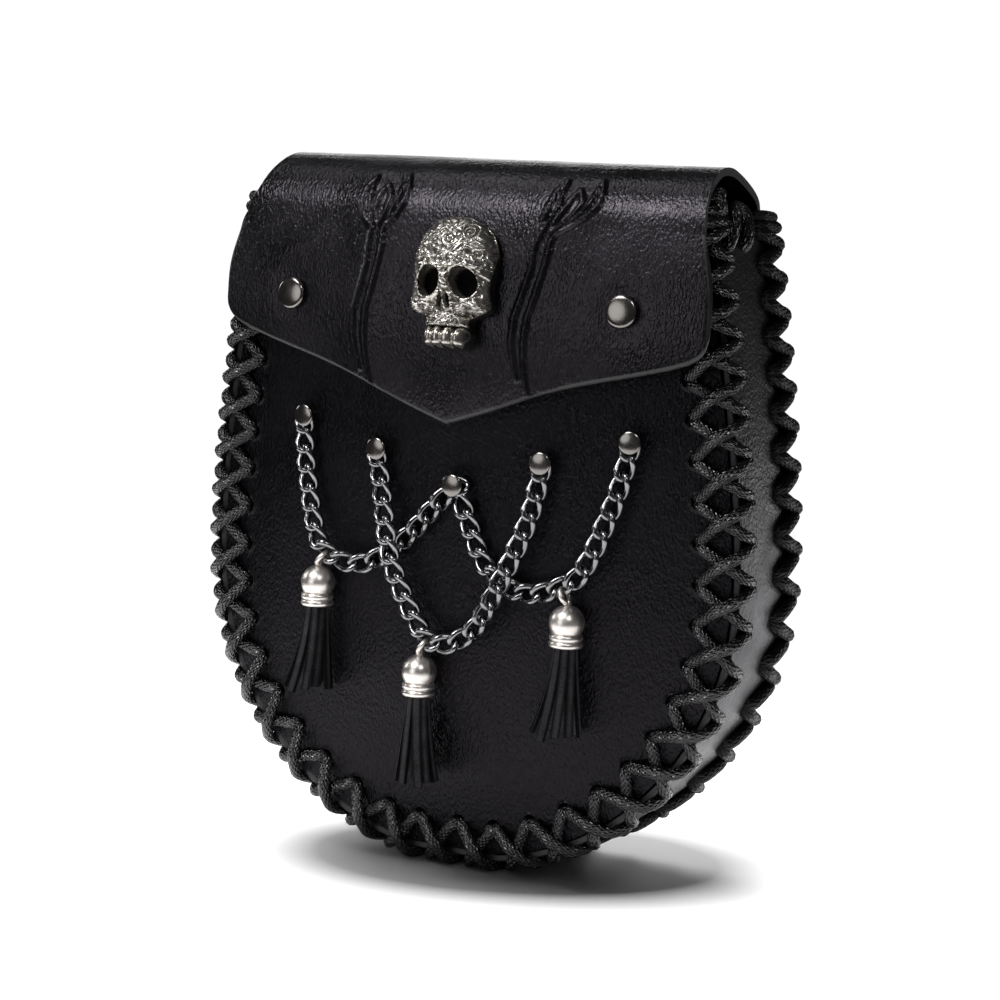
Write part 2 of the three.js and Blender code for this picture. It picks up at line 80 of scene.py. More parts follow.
# The front panel stops just inside the outline, the back panel and the gusset outside it
FRONT_INSET = 0.4
FRONT_SKEW = -1.5
SEAM_SET = 0.5
BACK_FLARE = 2.0
FLARE_TOP = 208.0
FLARE_FULL = 180.0
# Depth behind the front seam, and how far the gusset stands off the outline there
GUSSET_PROFILE = ((0, 2.2), (4, 2.5), (12, 2.9), (26, 2.8), (36, 2.3), (44, 2.0))

# Flap: the fold over the top, then the tongue down the front
TONGUE_TOP = 203.0
TONGUE_TOP_HALF = 78.2
TONGUE_HALF = 82.5
TONGUE_Y = -41.5
TONGUE_MIDDLE = 173.0
TONGUE_CURL = 3.5
TONGUE_SPAN = 31.0
EDGE_FALL = 4.0
NECK = 4.2
FOLD_SHIFT = 3.8
FOLD_TILT = 0.011
TONGUE_TILT = 0.028
FOLD_FOOT = 211.0
# Depth and height of the fold, from the back to the tongue
FOLD = (
    (BACK_Y, FOLD_FOOT), (18.4, 214.6), (14, 217.5), (7, 220.2), (-2, 222.7), (-11.5, 224.2),
    (-21.5, 223), (-30.5, 217.8), (-36, 210.2), (-38.2, TONGUE_TOP),
)
# Distance from the middle and height of the tongue's lower edge
TONGUE_EDGE = (
    (-2.2, 142.8), (0, 142.1), (2.2, 142.8), (8, 144.8), (15, 147.4), (23, 150.7), (31, 153.9),
    (39, 156.5), (47, 158.8), (56, 161.1), (65, 163.5), (73, 165.9), (78.3, 168.2), (81.3, 171.4),
    (TONGUE_HALF, 176),
)
TIP_SHIFT = -1.2
EDGE_ROUND = 1.4
RIVET_SINK = 0.4

# Rivets: the place across and the height of each, then radius and rise of their profiles
CHAIN_RIVETS = {
    "chain_rivet_1": (-54.6, 141.1),
    "chain_rivet_2": (-27.1, 132.8),
    "chain_rivet_3": (0, 123.6),
    "chain_rivet_4": (28.9, 132.8),
    "chain_rivet_5": (56.6, 141.1),
}
FLAP_RIVETS = {
    "flap_rivet_left": (-56, 179.7),
    "flap_rivet_right": (56, 179.7),
}
CHAIN_RIVET_PROFILE = (
    (0, 0), (1, 0), (1, 4.9), (2.9, 4.9), (3.3, 5), (3.5, 5.25), (3.5, 5.5), (3.3, 5.75),
    (2.9, 5.87), (2, 6.04), (1, 6.14), (0, 6.17),
)
FLAP_RIVET_PROFILE = (
    (0, 0.3), (4.4, 0.3), (4.75, 0.5), (4.9, 0.9), (4.85, 1.3), (4.6, 1.65), (4.2, 1.84),
    (3.4, 2.0), (2.3, 2.14), (1.1, 2.22), (0, 2.24),
)

# Chains: place across, height and lift off the leather along their routes over the panel
OUTER_LEFT = (
    (-56.3, 139.5, 2.8), (-55.6, 130.5, 3.2), (-53.6, 120.5, 4), (-51, 110, 5), (-48, 102, 6),
    (-43.5, 97.8, 6), (-37.5, 95.3, 4.6), (-31, 95.8, 3), (-24.2, 100, 2.4), (-15.8, 106.6, 2.4),
    (-8.5, 114.6, 2.6), (0, 123.2, 2.8),
)
OUTER_RIGHT = (
    (0, 123.2, 2.8), (4.6, 112, 2.6), (8.6, 102.6, 2.4), (13, 96.8, 2.4), (19, 93, 2.6),
    (27.6, 92.1, 4), (35.5, 95, 5.4), (42, 99, 6), (46.5, 107, 5.4), (50.2, 117.3, 4.2),
    (53.1, 125.9, 3.4), (56.3, 139.5, 2.8),
)
INNER = (
    (-28.6, 131.2, 2.8), (-26.4, 123, 3.6), (-23.8, 113.2, 5.6), (-20.9, 101, 7), (-17, 90, 6.4),
    (-12.1, 80.8, 6), (-8.2, 75.5, 6.2), (-3.2, 73.4, 6.2), (2.4, 74.8, 5.6), (8.2, 78.8, 5.2),
    (13.4, 86.6, 6.4), (17, 94, 7), (22.2, 106.1, 5.6), (26.2, 118.5, 3.8), (28.6, 131.2, 2.8),
)
LINK_PITCH = 6.2
LINK_SIDE = 2.45
LINK_TWIST = -1.15
LINK_STEPS = 32
LINK_PLAY = 0.12
ROUTE_STEPS = 600
WIRE_SIDES = 12

# Tassels
EYE_RADIUS = 2.3
EYE_WIRE = 0.7
EYE_THICK = EYE_WIRE + 0.15
EYE_PLAY = 0.8
EYE_RISE = 13.6
EYE_STEPS = 32
HANG_BELOW = 104.0
STRIP_TOP = 1.0
STRIP_LONG = 29.5
STRIP_RING = 3.5
STRIP_GRID = (2, 16)
# Side, the place across that it hangs near, and how far its fringe sweeps aside
TASSELS = (("left", -43.8, -4.5), ("middle", -5, 2), ("right", 38.6, -4))
# Radius and rise of a cap, up to its ball
CAP_PROFILE = (
    (0, 3), (4.3, 3), (4.3, 0.1), (4.45, -0.05), (4.9, 0.05), (5.2, 0.45), (5.25, 0.95),
    (5.2, 1.45), (4.95, 1.85), (4.72, 2.05), (4.95, 2.25), (5.2, 2.6), (5.25, 3.15), (5.15, 3.7),
    (4.85, 4.05), (4.5, 4.2),
)
BALL_RADIUS = 5.5
BALL_RISE = 7.5
BALL_STEPS = 12
BALL_TOP = math.radians(76)
STEM_PROFILE = ((1.3, 13.05), (1.25, 14.2), (0.8, 14.6), (0, 14.7))

# Skull ornament
SKULL_ACROSS = 2.8
SKULL_HEIGHT = 185.2
SKULL_LEAN = 0.094
SKULL_STAND = 0.4
SKULL_NARROW = 0.955
SKULL_HALF_TALL = 20.0
SKULL_WALL = 0.16
# Height and half width of its outline
SKULL_OUTLINE = (
    (-20, 2.6), (-19.7, 4.6), (-19, 6.2), (-18, 7.1), (-16.4, 7.8), (-15, 8), (-13.6, 7.6),
    (-12.4, 7.2), (-11.2, 7.3), (-10.3, 8.2), (-9.6, 10.4), (-8.8, 12.4), (-7.6, 13.7), (-6, 14),
    (-4, 13.5), (-1.5, 13.2), (1, 13.4), (4, 13.9), (7, 14.2), (10, 14), (13, 13), (15.6, 11.2),
    (17.6, 8.8), (19, 6), (19.7, 3.6), (20, 1.2),
)

# Belt loop on the back
LOOP_HALF = 32.0
# Height, and distance from the back panel
LOOP_PROFILE = (
    (110, 0.3), (121, 0.3), (124, 1.0), (128, 6.2), (131, 7), (175, 7), (178, 6.2), (182, 1.0),
    (185, 0.3), (196, 0.3),
)

# Lacing: each hole's place along the outline, wider apart round the bottom
HOLES = (
    (-1, 0), (0, 0.0155), (5, 0.1283), (9, 0.226), (13, 0.334), (17, 0.451), (20, 0.533),
    (24, 0.645), (28, 0.755), (32, 0.854), (34, 0.9), (38, 0.985), (39, 1),
)
LACES = 39
HOLE_INSET = 9.5
HOLE_RADIUS = 2.5
HOLE_LIP = 0.5
HOLE_LIP_WIDTH = 0.55
HOLE_DENT = 1.3
HOLE_SLOPE = 1.2
HOLE_MARGIN = 2.4

# A strand's way: the share of its length, its reach from the seam's corner, on the panel and then,
# below 0, on the gusset, and its lift where it runs over or under the one that it crosses
REACH, OVER, UNDER = 1, 2, 3
CORNER = 1.5
FRONT_STRAND = (
    (0, 13.7, -2.4, -2.4), (0.05, 12.9, 0.2, 0.2), (0.13, 11.6, 1.6, 1.5), (0.28, 9.2, 3.0, 1.6),
    (0.4, 7.3, 4.2, 1.5), (0.5, 5.2, 4.7, 1.4), (0.6, 3.2, 3.9, 1.4), (0.67, 1.5, 2.5, 1.3),
    (0.73, 0, 1.6, 1.2), (0.82, -2.8, 1.4, 1.4), (0.92, -6.6, 1.2, 1.2), (0.97, -8.6, -0.4, -0.4),
    (1, -9.6, -2.6, -2.6),
)
BACK_STRAND = (
    (0, 11, -2.4, -2.4), (0.05, 10.3, 0.2, 0.2), (0.13, 9, 1.6, 1.5), (0.28, 6.4, 3, 1.6),
    (0.4, 4.3, 4, 1.5), (0.48, 2.6, 4.1, 1.4), (0.58, 0, 2.8, 1.5), (0.68, -3.4, 1.7, 1.6),
    (0.8, -7.6, 1.6, 1.6), (0.9, -11, 1.1, 1.1), (0.96, -12.6, -0.6, -0.6), (1, -13.2, -2.6, -2.6),
)
# The last strands at both ends: how far before the last hole they start and end
END_STRANDS = ((0.05, 0.12, OVER), (0.42, 0.5, UNDER))
BACK_CORD = 1.2
STRAND_STEPS = 26
STRAND_SIDES = 10
KNOT_AT = 0.999
KNOT_STEPS = 40
KNOT_ENDS = 3
KNOT_OFF = 1.2
KNOT_DEPTH = 3.2
KNOT_FALL = 2.6
# Depth behind the front seam, distance off the outline and rise of the cord over the gusset's top
TOP_CORD = (
    (7.5, 1.9, -10), (7.8, 3.9, -8), (8.4, 4.6, -4), (9.4, 4.4, 0.6), (11.5, 3.2, 2.6),
    (14.5, 2.4, 3.1), (17.5, 2.8, 2.7), (19.4, 4.2, 0.6), (20.2, 4.9, -3.6), (20.8, 4.4, -7.6),
    (21.2, 1.9, -9.6),
)
TOP_CORD_STEPS = 36
BRAID_ROUND = 9.0
BRAID_ALONG = 12.0

# Camera and stage, from the photograph's view
CAMERA_LOOK = (0, 0, 113.9)
CAMERA_AZIMUTH = math.radians(25.8)
CAMERA_ELEVATION = math.radians(6.64)
CAMERA_ROLL = math.radians(2.67)
CAMERA_DISTANCE = 695.0
CAMERA_LENS = 77.54
CAMERA_SENSOR = 36.0
CAMERA_SHIFT = (0.0008, 0.0067)

# Columns and rows of the leather sheets and of the skull, and steps of turned shapes
PANEL_GRID = (88, 108)
GUSSET_GRID = (12, 190)
FLAP_COLUMNS = 112
BACK_ROWS = 26
FOLD_ROWS = 30
TONGUE_ROWS = 44
EDGE_ROWS = 4
FLAP_ROWS = BACK_ROWS + FOLD_ROWS + TONGUE_ROWS
LOOP_GRID = (24, 64)
SKULL_GRID = (110, 150)
TURNED_STEPS = 48
FLOOR_STEPS = 96
FINE_CUTS = 3

# Rounded edges, with their widths in metres, and the angles that stay sharp on metal
EDGE_SEGMENTS = 3
EDGE_ANGLE = math.radians(50)
NICKEL_CREASE = math.radians(50)
SILVER_CREASE = math.radians(60)
PANEL_EDGE = 0.0005
GUSSET_EDGE = 0.0006
FLAP_EDGE = 0.0004
LOOP_EDGE = 0.0005
STRIP_EDGE = 0.00015
STRIP_THICK = 0.0011

DEPTH_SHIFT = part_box("belt_loop")[0].y / MM - BACK_Y - GAP


def in_frame(place):
    """A place in the leather's millimetres, as metres in the shared frame."""
    return Vector((place[0], place[1] + DEPTH_SHIFT, place[2])) * MM


def lerp(low, high, share):
    return low + (high - low) * share


def clamp(share):
    return min(1, max(0, share))


def ramp(low, high, at):
    """0 before low and 1 after high, with a soft turn at both."""
    share = clamp((at - low) / (high - low))
    return share * share * (3 - 2 * share)


def spline(points, share):
    """A place on a smooth curve through points, by its share of their count."""
    at = share * (len(points) - 1)
    start = min(int(at), len(points) - 2)
    part = at - start
    before = points[max(start - 1, 0)]
    low = points[start]
    high = points[start + 1]
    after = points[min(start + 2, len(points) - 1)]
    leave = (high - before) / 2
    arrive = (after - low) / 2
    turn = (low - high) * 2 + leave + arrive
    bend = (high - low) * 3 - leave * 2 - arrive
    return ((turn * part + bend) * part + leave) * part + low


def table_at(rows, at, column=1):
    """Value of a table's column at a place along its first column, on a smooth curve."""
    keys = [row[0] for row in rows]
    values = [row[column] for row in rows]
    if at <= keys[0]:
        return values[0]
    if at >= keys[-1]:
        return values[-1]
    start = bisect.bisect_right(keys, at) - 1
    slopes = []
    for i in (start, start + 1):
        low, high = max(i - 1, 0), min(i + 1, len(keys) - 1)
        slopes.append((values[high] - values[low]) / (keys[high] - keys[low]))
    span = keys[start + 1] - keys[start]
    t = (at - keys[start]) / span
    low_value, high_value = values[start], values[start + 1]
    rise = high_value - low_value
    ease = t * t * (3 - 2 * t)
    pull = span * t * (1 - t) * (slopes[0] * (1 - t) - slopes[1] * t)
    return low_value + rise * ease + pull


def outline_points():
    """The panels' outline from the left of the mouth round the bottom to the right."""
    side = []
    for i in range(SIDE_STEPS):
        t = i / SIDE_STEPS
        hold = (1 - t) ** 2
        pull = 2 * t * (1 - t)
        across = hold * MOUTH_HALF + (1 - hold) * BODY_HALF
        height = hold * MOUTH_HEIGHT + pull * SIDE_PULL + t * t * WIDEST_HEIGHT
        side.append(Vector((across, height)))
    turns = [math.pi * (1 + i / BOTTOM_STEPS) for i in range(BOTTOM_STEPS + 1)]
    round_bottom = [
        Vector((BODY_HALF * math.cos(turn), WIDEST_HEIGHT + BODY_DROP * math.sin(turn)))
        for turn in turns
    ]
    left = [Vector((-point.x, point.y)) for point in side]
    return left + round_bottom + side[::-1]


def lengths(points):
    """Length of the way along points, up to each of them."""
    run = [0.0]
    for last, point in zip(points, points[1:]):
        run.append(run[-1] + (point - last).length)
    return run


def place_on(points, run, at):
    """The place at a length of the way along points."""
    i = min(max(bisect.bisect_left(run, at), 1), len(points) - 1)
    return points[i - 1].lerp(points[i], (at - run[i - 1]) / (run[i] - run[i - 1]))


OUTLINE = outline_points()
OUTLINE_RUN = lengths(OUTLINE)
OUTLINE_LENGTH = OUTLINE_RUN[-1]
FOOT_HEIGHT = WIDEST_HEIGHT - BODY_DROP * math.sqrt(1 - (FOOT_HALF / BODY_HALF) ** 2)
FOOT_AT = 0.5 - FOOT_HALF * 1.006 / OUTLINE_LENGTH


def outline_at(share):
    return place_on(OUTLINE, OUTLINE_RUN, clamp(share) * OUTLINE_LENGTH)


class Edge(NamedTuple):
    x: float
    z: float
    out: Vector


def edge_at(share):
    """A place on the outline with its outward direction, flattened where the pouch stands."""
    here = outline_at(share)
    if abs(here.x) <= FOOT_HALF and here.y < WIDEST_HEIGHT:
        return Edge(here.x, FOOT_HEIGHT, Vector((0, 0, -1)))
    way = outline_at(share + 0.001) - outline_at(share - 0.001)
    return Edge(here.x, here.y, Vector((way.y, 0, -way.x)).normalized())


FOLD_AT = (MOUTH_HEIGHT - FOLD_FOOT) / OUTLINE_LENGTH
BACK_HALF = -edge_at(FOLD_AT).x


def half_width(z):
    """Half of the panels' width at a height."""
    if z < WIDEST_HEIGHT:
        drop = (WIDEST_HEIGHT - z) / BODY_DROP
        return BODY_HALF * math.sqrt(max(1e-6, 1 - drop * drop))
    bend = WIDEST_HEIGHT - 2 * SIDE_PULL + MOUTH_HEIGHT
    slope = 2 * (SIDE_PULL - WIDEST_HEIGHT)
    t = (math.sqrt(slope * slope + 4 * bend * (z - WIDEST_HEIGHT)) - slope) / (2 * bend)
    return BODY_HALF - t * t * (BODY_HALF - MOUTH_HALF)


def front_edge_y(z):
    up = max(0, (z - WIDEST_HEIGHT) / (MOUTH_HEIGHT - WIDEST_HEIGHT))
    return FRONT_Y - MOUTH_FLARE * up


def front_y(x, z):
    """The front panel's face, crowned between its edges."""
    up = clamp((z - FOOT_HEIGHT) / CROWN_RISE)
    rise = 1 - (1 - up) ** 2
    near = clamp((z - CROWN_TOP) / (MOUTH_HEIGHT - CROWN_TOP))
    share = x / half_width(z)
    crown = CROWN * rise * (1 - CROWN_EASE * near * near)
    return front_edge_y(z) - crown * max(0, 1 - share * share)


def tongue_y(x, z):
    """The flap's face on the front."""
    curl = (z - TONGUE_MIDDLE) / TONGUE_SPAN
    return TONGUE_Y + TONGUE_CURL * curl * curl + EDGE_FALL * (x / TONGUE_HALF) ** 2


def front_normal(surface, x, z):
    """Outward direction of a surface that gives Y from X and Z and faces the front."""
    step = 0.5
    slope_x = (surface(x + step, z) - surface(x - step, z)) / (2 * step)
    slope_z = (surface(x, z + step) - surface(x, z - step)) / (2 * step)
    return Vector((slope_x, -1, slope_z)).normalized()


def on_front(surface, x, z, lift):
    """A place at a lift off a surface that faces the front, and the direction off it."""
    out = front_normal(surface, x, z)
    return Vector((x, surface(x, z), z)) + out * lift, out


def gusset_off(y, z):
    """How far the gusset stands off the outline, at a depth behind the front panel."""
    depth = y - front_edge_y(z) - SEAM_SET
    return table_at(GUSSET_PROFILE, depth)


def moved_edge(edge, off):
    """A place on the outline moved outwards."""
    return Vector((edge.x, 0, edge.z)) + edge.out * off


def skewed(place):
    """The front is laced a little to the left of the back."""
    share = (BACK_Y - place.y) / (BACK_Y - FRONT_Y)
    return place + Vector((FRONT_SKEW * share, 0, 0))


def hole_share(hole):
    """A hole's place along the outline."""
    return table_at(HOLES, hole)


def ripple(x, z, seed, amount, scale=0.03):
    """A slow unevenness of the leather, in millimetres."""
    return amount * noise.noise(Vector((x * scale, z * scale, seed)))


def grid(made, columns, rows):
    """Adds a grid one unit wide round the origin, and gives its corners."""
    return bmesh.ops.create_grid(
        made, x_segments=columns, y_segments=rows, size=0.5, calc_uvs=True
    )["verts"]


def sheet(columns, rows, place, is_fine=None, is_edge=None):
    """A grid whose corners go to place(across, along), both from 0 to 1."""
    made = bmesh.new()
    made.loops.layers.uv.new("UVMap")
    grid(made, columns, rows)
    if is_fine:
        chosen = [face for face in made.faces if is_fine(place, face.calc_center_median())]
        edges = list({edge for face in chosen for edge in face.edges})
        bmesh.ops.subdivide_edges(made, edges=edges, cuts=FINE_CUTS, use_grid_fill=True)
    if is_edge:
        for face in made.faces:
            middle = face.calc_center_median()
            face.material_index = int(is_edge(middle.x + 0.5, middle.y + 0.5))
    for vert in made.verts:
        vert.co = in_frame(place(vert.co.x + 0.5, vert.co.y + 0.5))
    return made


def closed(made):
    """Closes the seams and poles of a mesh and turns its faces outwards."""
    bmesh.ops.remove_doubles(made, verts=made.verts, dist=1e-6)
    bmesh.ops.dissolve_degenerate(made, edges=made.edges, dist=1e-7)
    bmesh.ops.recalc_face_normals(made, faces=made.faces)
    return made


def tube(made, centres, radii, sides):
    """Adds a tube along centres, in millimetres, with its own radius at each of them."""
    steps = len(centres) - 1
    ways = [centres[min(i + 1, steps)] - centres[max(i - 1, 0)] for i in range(steps + 1)]
    side = ways[0].orthogonal().normalized()
    frames = []
    for way in ways:
        way.normalize()
        side = (side - way * side.dot(way)).normalized()
        frames.append((side, way.cross(side)))
    for vert in grid(made, sides, steps):
        i = round((vert.co.y + 0.5) * steps)
        turn = 2 * math.pi * (vert.co.x + 0.5)
        across, over = frames[i]
        offset = across * math.cos(turn) + over * math.sin(turn)
        vert.co = in_frame(centres[i] + offset * radii[i])


def cord(made, centres, radius, ends=2):
    """Adds a cord that closes softly over a few steps at both ends."""
    last = len(centres) - 1
    radii = []
    for i in range(last + 1):
        near = min(i, last - i) / ends
        radii.append(radius * math.sqrt(max(0, 1 - (1 - min(1, near)) ** 2)))
    tube(made, centres, radii, STRAND_SIDES)


def turned(profile):
    """A round shape spun from a profile of radius and rise, standing along Z."""
    made = bmesh.new()
    verts = [made.verts.new((radius, 0, rise)) for radius, rise in profile]
    edges = [made.edges.new(pair) for pair in zip(verts, verts[1:])]
    bmesh.ops.spin(
        made, geom=verts + edges, axis=(0, 0, 1), cent=(0, 0, 0), angle=2 * math.pi,
        steps=TURNED_STEPS, use_merge=True,
    )
    bmesh.ops.remove_doubles(made, verts=made.verts, dist=1e-4)
    bmesh.ops.recalc_face_normals(made, faces=made.faces)
    return made


def seat(made, place, direction):
    """Moves a shape that stands along Z on to a place, standing along a direction."""
    turn = Vector((0, 0, 1)).rotation_difference(direction).to_matrix()
    for vert in made.verts:
        vert.co = in_frame(turn @ vert.co + place)


def add_piece(name, made, finishes, node, crease=None):
    """Makes the object of a shape, rides it on the pouch and lets it stand for its CAD node."""
    mesh = bpy.data.meshes.new(name)
    made.to_mesh(mesh)
    made.free()
    if not mesh.polygons:
        raise RuntimeError(f"{name} has no faces")
    mesh.shade_smooth()
    if crease:
        mesh.set_sharp_from_angle(angle=crease)
    for finish in finishes:
        mesh.materials.append(finish)
    piece = bpy.data.objects.new(name, mesh)
    bpy.context.scene.collection.objects.link(piece)
    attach(piece, "root")
    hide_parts(node)
    return piece


def thicken(piece, thickness, edge_width):
    """Gives a sheet its thickness under its face, with rounded edges in the second finish."""
    wall = piece.modifiers.new("Thickness", "SOLIDIFY")
    wall.thickness = thickness
    wall.offset = -1
    wall.material_offset_rim = 1
    soft = piece.modifiers.new("Edges", "BEVEL")
    soft.width = edge_width
    soft.segments = EDGE_SEGMENTS
    soft.material = 1
    soft.limit_method = "ANGLE"
    soft.angle_limit = EDGE_ANGLE
    soft.harden_normals = True


def add_leather(context, node, made, finishes, edge_width):
    """Makes the object of a leather sheet and gives it its thickness."""
    piece = add_piece(f"{node}_leather", made, finishes, node)
    thicken(piece, context.scene.pouch_sizes.leather, edge_width)


# Finishes
class Finish:
    """The node tree of one material, with short calls for what the finishes need."""

    def __init__(self, name, **shader):
        self.material = bpy.data.materials.new(name)
        self.material.use_nodes = True
        self.tree = self.material.node_tree
        sockets = self.tree.nodes["Principled BSDF"].inputs
        self.sockets = {socket.name.lower().replace(" ", "_"): socket for socket in sockets}
        self.wear(**shader)

    def feed(self, socket, value):
        if isinstance(value, bpy.types.NodeSocket):
            self.tree.links.new(value, socket)
        else:
            socket.default_value = value

    def node(self, kind, inputs=None, **settings):
        made = self.tree.nodes.new("ShaderNode" + kind)
        for key, value in settings.items():
            setattr(made, key, value)
        for key, value in (inputs or {}).items():
            self.feed(made.inputs[key], value)
        return made

    def place(self):
        return self.node("TexCoord").outputs["Object"]

    def noise(self, place, scale, detail=2.0, roughness=0.5):
        inputs = {"Vector": place, "Scale": scale, "Detail": detail, "Roughness": roughness}
        return self.node("TexNoise", inputs).outputs["Fac"]

    def spread(self, value, low, high, to_low, to_high):
        """A value between low and high, stretched between two others."""
        ends = {"From Min": low, "From Max": high, "To Min": to_low, "To Max": to_high}
        return self.node("MapRange", {"Value": value, **ends}).outputs["Result"]

    def maths(self, operation, first, second):
        return self.node("Math", {0: first, 1: second}, operation=operation).outputs[0]

    def mixed(self, first, first_share, second, second_share):
        """Shares of two values together."""
        first = self.maths("MULTIPLY", first, first_share)
        second = self.maths("MULTIPLY", second, second_share)
        return self.maths("ADD", first, second)

    def tones(self, share, colour, *stops):
        """A ramp through shades of a colour, by (position, factor) stops."""
        made = self.node("ValToRGB", {"Fac": share})
        elements = made.color_ramp.elements
        while len(elements) < len(stops):
            elements.new(1)
        for element, (position, factor) in zip(elements, stops):
            element.position = position
            element.color = (*shade(colour, factor), 1)
        return made.outputs["Color"]

    def bump(self, height, distance, strength=1.0, under=None):
        inputs = {"Height": height, "Distance": distance, "Strength": strength}
        if under:
            inputs["Normal"] = under
        return self.node("Bump", inputs).outputs["Normal"]

    def wear(self, **sockets):
        """Feeds the shader's sockets by their names, and gives the material."""
        for socket, value in sockets.items():
            self.feed(self.sockets[socket], value)
        return self.material


def shade(colour, factor):
    return tuple(min(1, part * factor) for part in colour)


def leather_finish(name, colour, grain, roughness, gloss):
    """Grained leather: pebbles between fine creases, streaks along its length and cloudy wear."""
    finish = Finish(name, specular_ior_level=gloss, specular_tint=(0.96, 0.88, 1, 1))
    place = finish.place()
    clouds = finish.noise(place, 34, detail=4, roughness=0.6)
    wobble = finish.node("TexNoise", {"Vector": place, "Scale": 260}).outputs["Color"]
    drift = finish.node("VectorMath", {0: wobble, "Scale": 0.0016}, operation="SCALE")
    bent = finish.node("VectorMath", {0: place, 1: drift.outputs["Vector"]}, operation="ADD")
    inputs = {"Vector": bent.outputs["Vector"], "Scale": (1.0, 0.55, 0.55)}
    stretch = finish.node("Mapping", inputs).outputs["Vector"]
    pebbles = finish.node("TexVoronoi", {"Vector": stretch, "Scale": 1500}).outputs["Distance"]
    streaks = finish.noise(stretch, 1350, detail=1.5)
    pores = finish.noise(place, 3600, detail=1)
    soft = finish.bump(streaks, 0.00032, 0.75 * grain)
    pebbled = finish.bump(pebbles, 0.00012, 0.6 * grain, soft)
    tone = finish.mixed(clouds, 0.7, pores, 0.3)
    return finish.wear(
        base_color=finish.tones(tone, colour, (0.3, 0.6), (0.75, 1.5)),
        roughness=finish.spread(clouds, 0.3, 0.7, roughness - 0.09, roughness + 0.13),
        normal=finish.bump(pores, 0.00004, 0.4 * grain, pebbled),
    )


def edge_finish(name, colour):
    """Painted cut edge, a little lighter than the leather and finely streaked."""
    finish = Finish(name, specular_ior_level=0.5)
    place = finish.place()
    streaks = finish.noise(place, 420, detail=4, roughness=0.65)
    return finish.wear(
        base_color=finish.tones(streaks, colour, (0.3, 0.75), (0.75, 1.4)),
        roughness=finish.spread(streaks, 0.3, 0.7, 0.38, 0.55),
        normal=finish.bump(streaks, 0.0002, 0.4),
    )


def lace_finish(name, colour, gloss, roughness):
    """Waxed braid: two sets of strands that cross along the cord's own map, with painted shade in
    the grooves and lighter crowns.
    """
    finish = Finish(name, specular_ior_level=gloss)
    turn = finish.node("UVMap", uv_map="UVMap").outputs["UV"]
    braids = []
    for slant in (1, -1):
        scale = (BRAID_ROUND, BRAID_ALONG * slant, 1)
        way = finish.node("Mapping", {"Vector": turn, "Scale": scale}).outputs["Vector"]
        run = finish.node("SeparateXYZ", {"Vector": way})
        phase = finish.maths("ADD", run.outputs["X"], run.outputs["Y"])
        braids.append(finish.maths("SINE", finish.maths("MULTIPLY", phase, 2 * math.pi), 0))
    strands = finish.maths("MAXIMUM", *braids)
    fuzz = finish.noise(finish.place(), 900, detail=1)
    height = finish.mixed(strands, 0.5, fuzz, 0.35)
    return finish.wear(
        # Painted shade and highlight: darker in the braid's grooves, lighter on the strands' crowns,
        # with random fuzz
        base_color=finish.tones(height, colour, (0.2, 0.4), (0.95, 1.6)),
        roughness=finish.spread(fuzz, 0.35, 0.65, roughness, roughness + 0.25),
        normal=finish.bump(height, 0.0005, 0.7),
    )


def suede_finish(name, colour):
    """Napped suede, dull and finely mottled, with painted shade darkening it towards the strips'
    long edges, where the gaps between strips fall.
    """
    finish = Finish(
        name, specular_ior_level=0.08, roughness=0.9, sheen_weight=0.05, sheen_roughness=0.5
    )
    painted_gap_shade = finish.node("Attribute", attribute_name="painted_gap_shade").outputs["Fac"]
    place = finish.place()
    nap = finish.noise(place, 1900, detail=4, roughness=0.7)
    clouds = finish.noise(place, 210, detail=3)
    tone = finish.mixed(nap, 0.6, clouds, 0.4)
    # Painted shade: the tone darkens towards each strip's long edges, standing in for the shadowed
    # gaps between strips
    tone = finish.maths("MULTIPLY", tone, finish.spread(painted_gap_shade, 0, 0.5, 0.35, 1.05))
    return finish.wear(
        base_color=finish.tones(tone, colour, (0.2, 0.1), (0.38, 0.5), (0.66, 1.7)),
        normal=finish.bump(nap, 0.0003, 0.6),
    )


def polish_finish(name, colour, roughness):
    """Plated metal with faint wear."""
    finish = Finish(name, metallic=1)
    place = finish.place()
    wear = finish.noise(place, 300, detail=4, roughness=0.6)
    fine = finish.noise(place, 2400)
    return finish.wear(
        base_color=finish.tones(wear, colour, (0.3, 0.88), (0.7, 1.06)),
        roughness=finish.spread(wear, 0.35, 0.75, roughness, roughness + 0.08),
        normal=finish.bump(fine, 0.00004, 0.2),
    )


def antique_finish(name, colour):
    """Cast silver with dark patina where the casting is hollow, random wear, and painted shade on
    the skull's side wall.
    """
    finish = Finish(name, specular_ior_level=0.1)
    hollow = finish.node("Attribute", attribute_name="hollow").outputs["Fac"]
    place = finish.place()
    wear = finish.noise(place, 900, detail=3)
    # Patina in the hollows, painted shade on the side wall and random wear, as one darkness
    patina_wear_and_shade = finish.maths("ADD", hollow, finish.spread(wear, 0.3, 0.7, -0.12, 0.12))
    return finish.wear(
        base_color=finish.tones(patina_wear_and_shade, colour, (0.1, 1.2), (0.45, 0.6), (0.8, 0.02)),
        metallic=finish.spread(patina_wear_and_shade, 0.5, 0.9, 1, 0.1),
        roughness=finish.spread(patina_wear_and_shade, 0.1, 0.7, 0.27, 0.75),
        normal=finish.bump(wear, 0.0001, 0.3),
    )


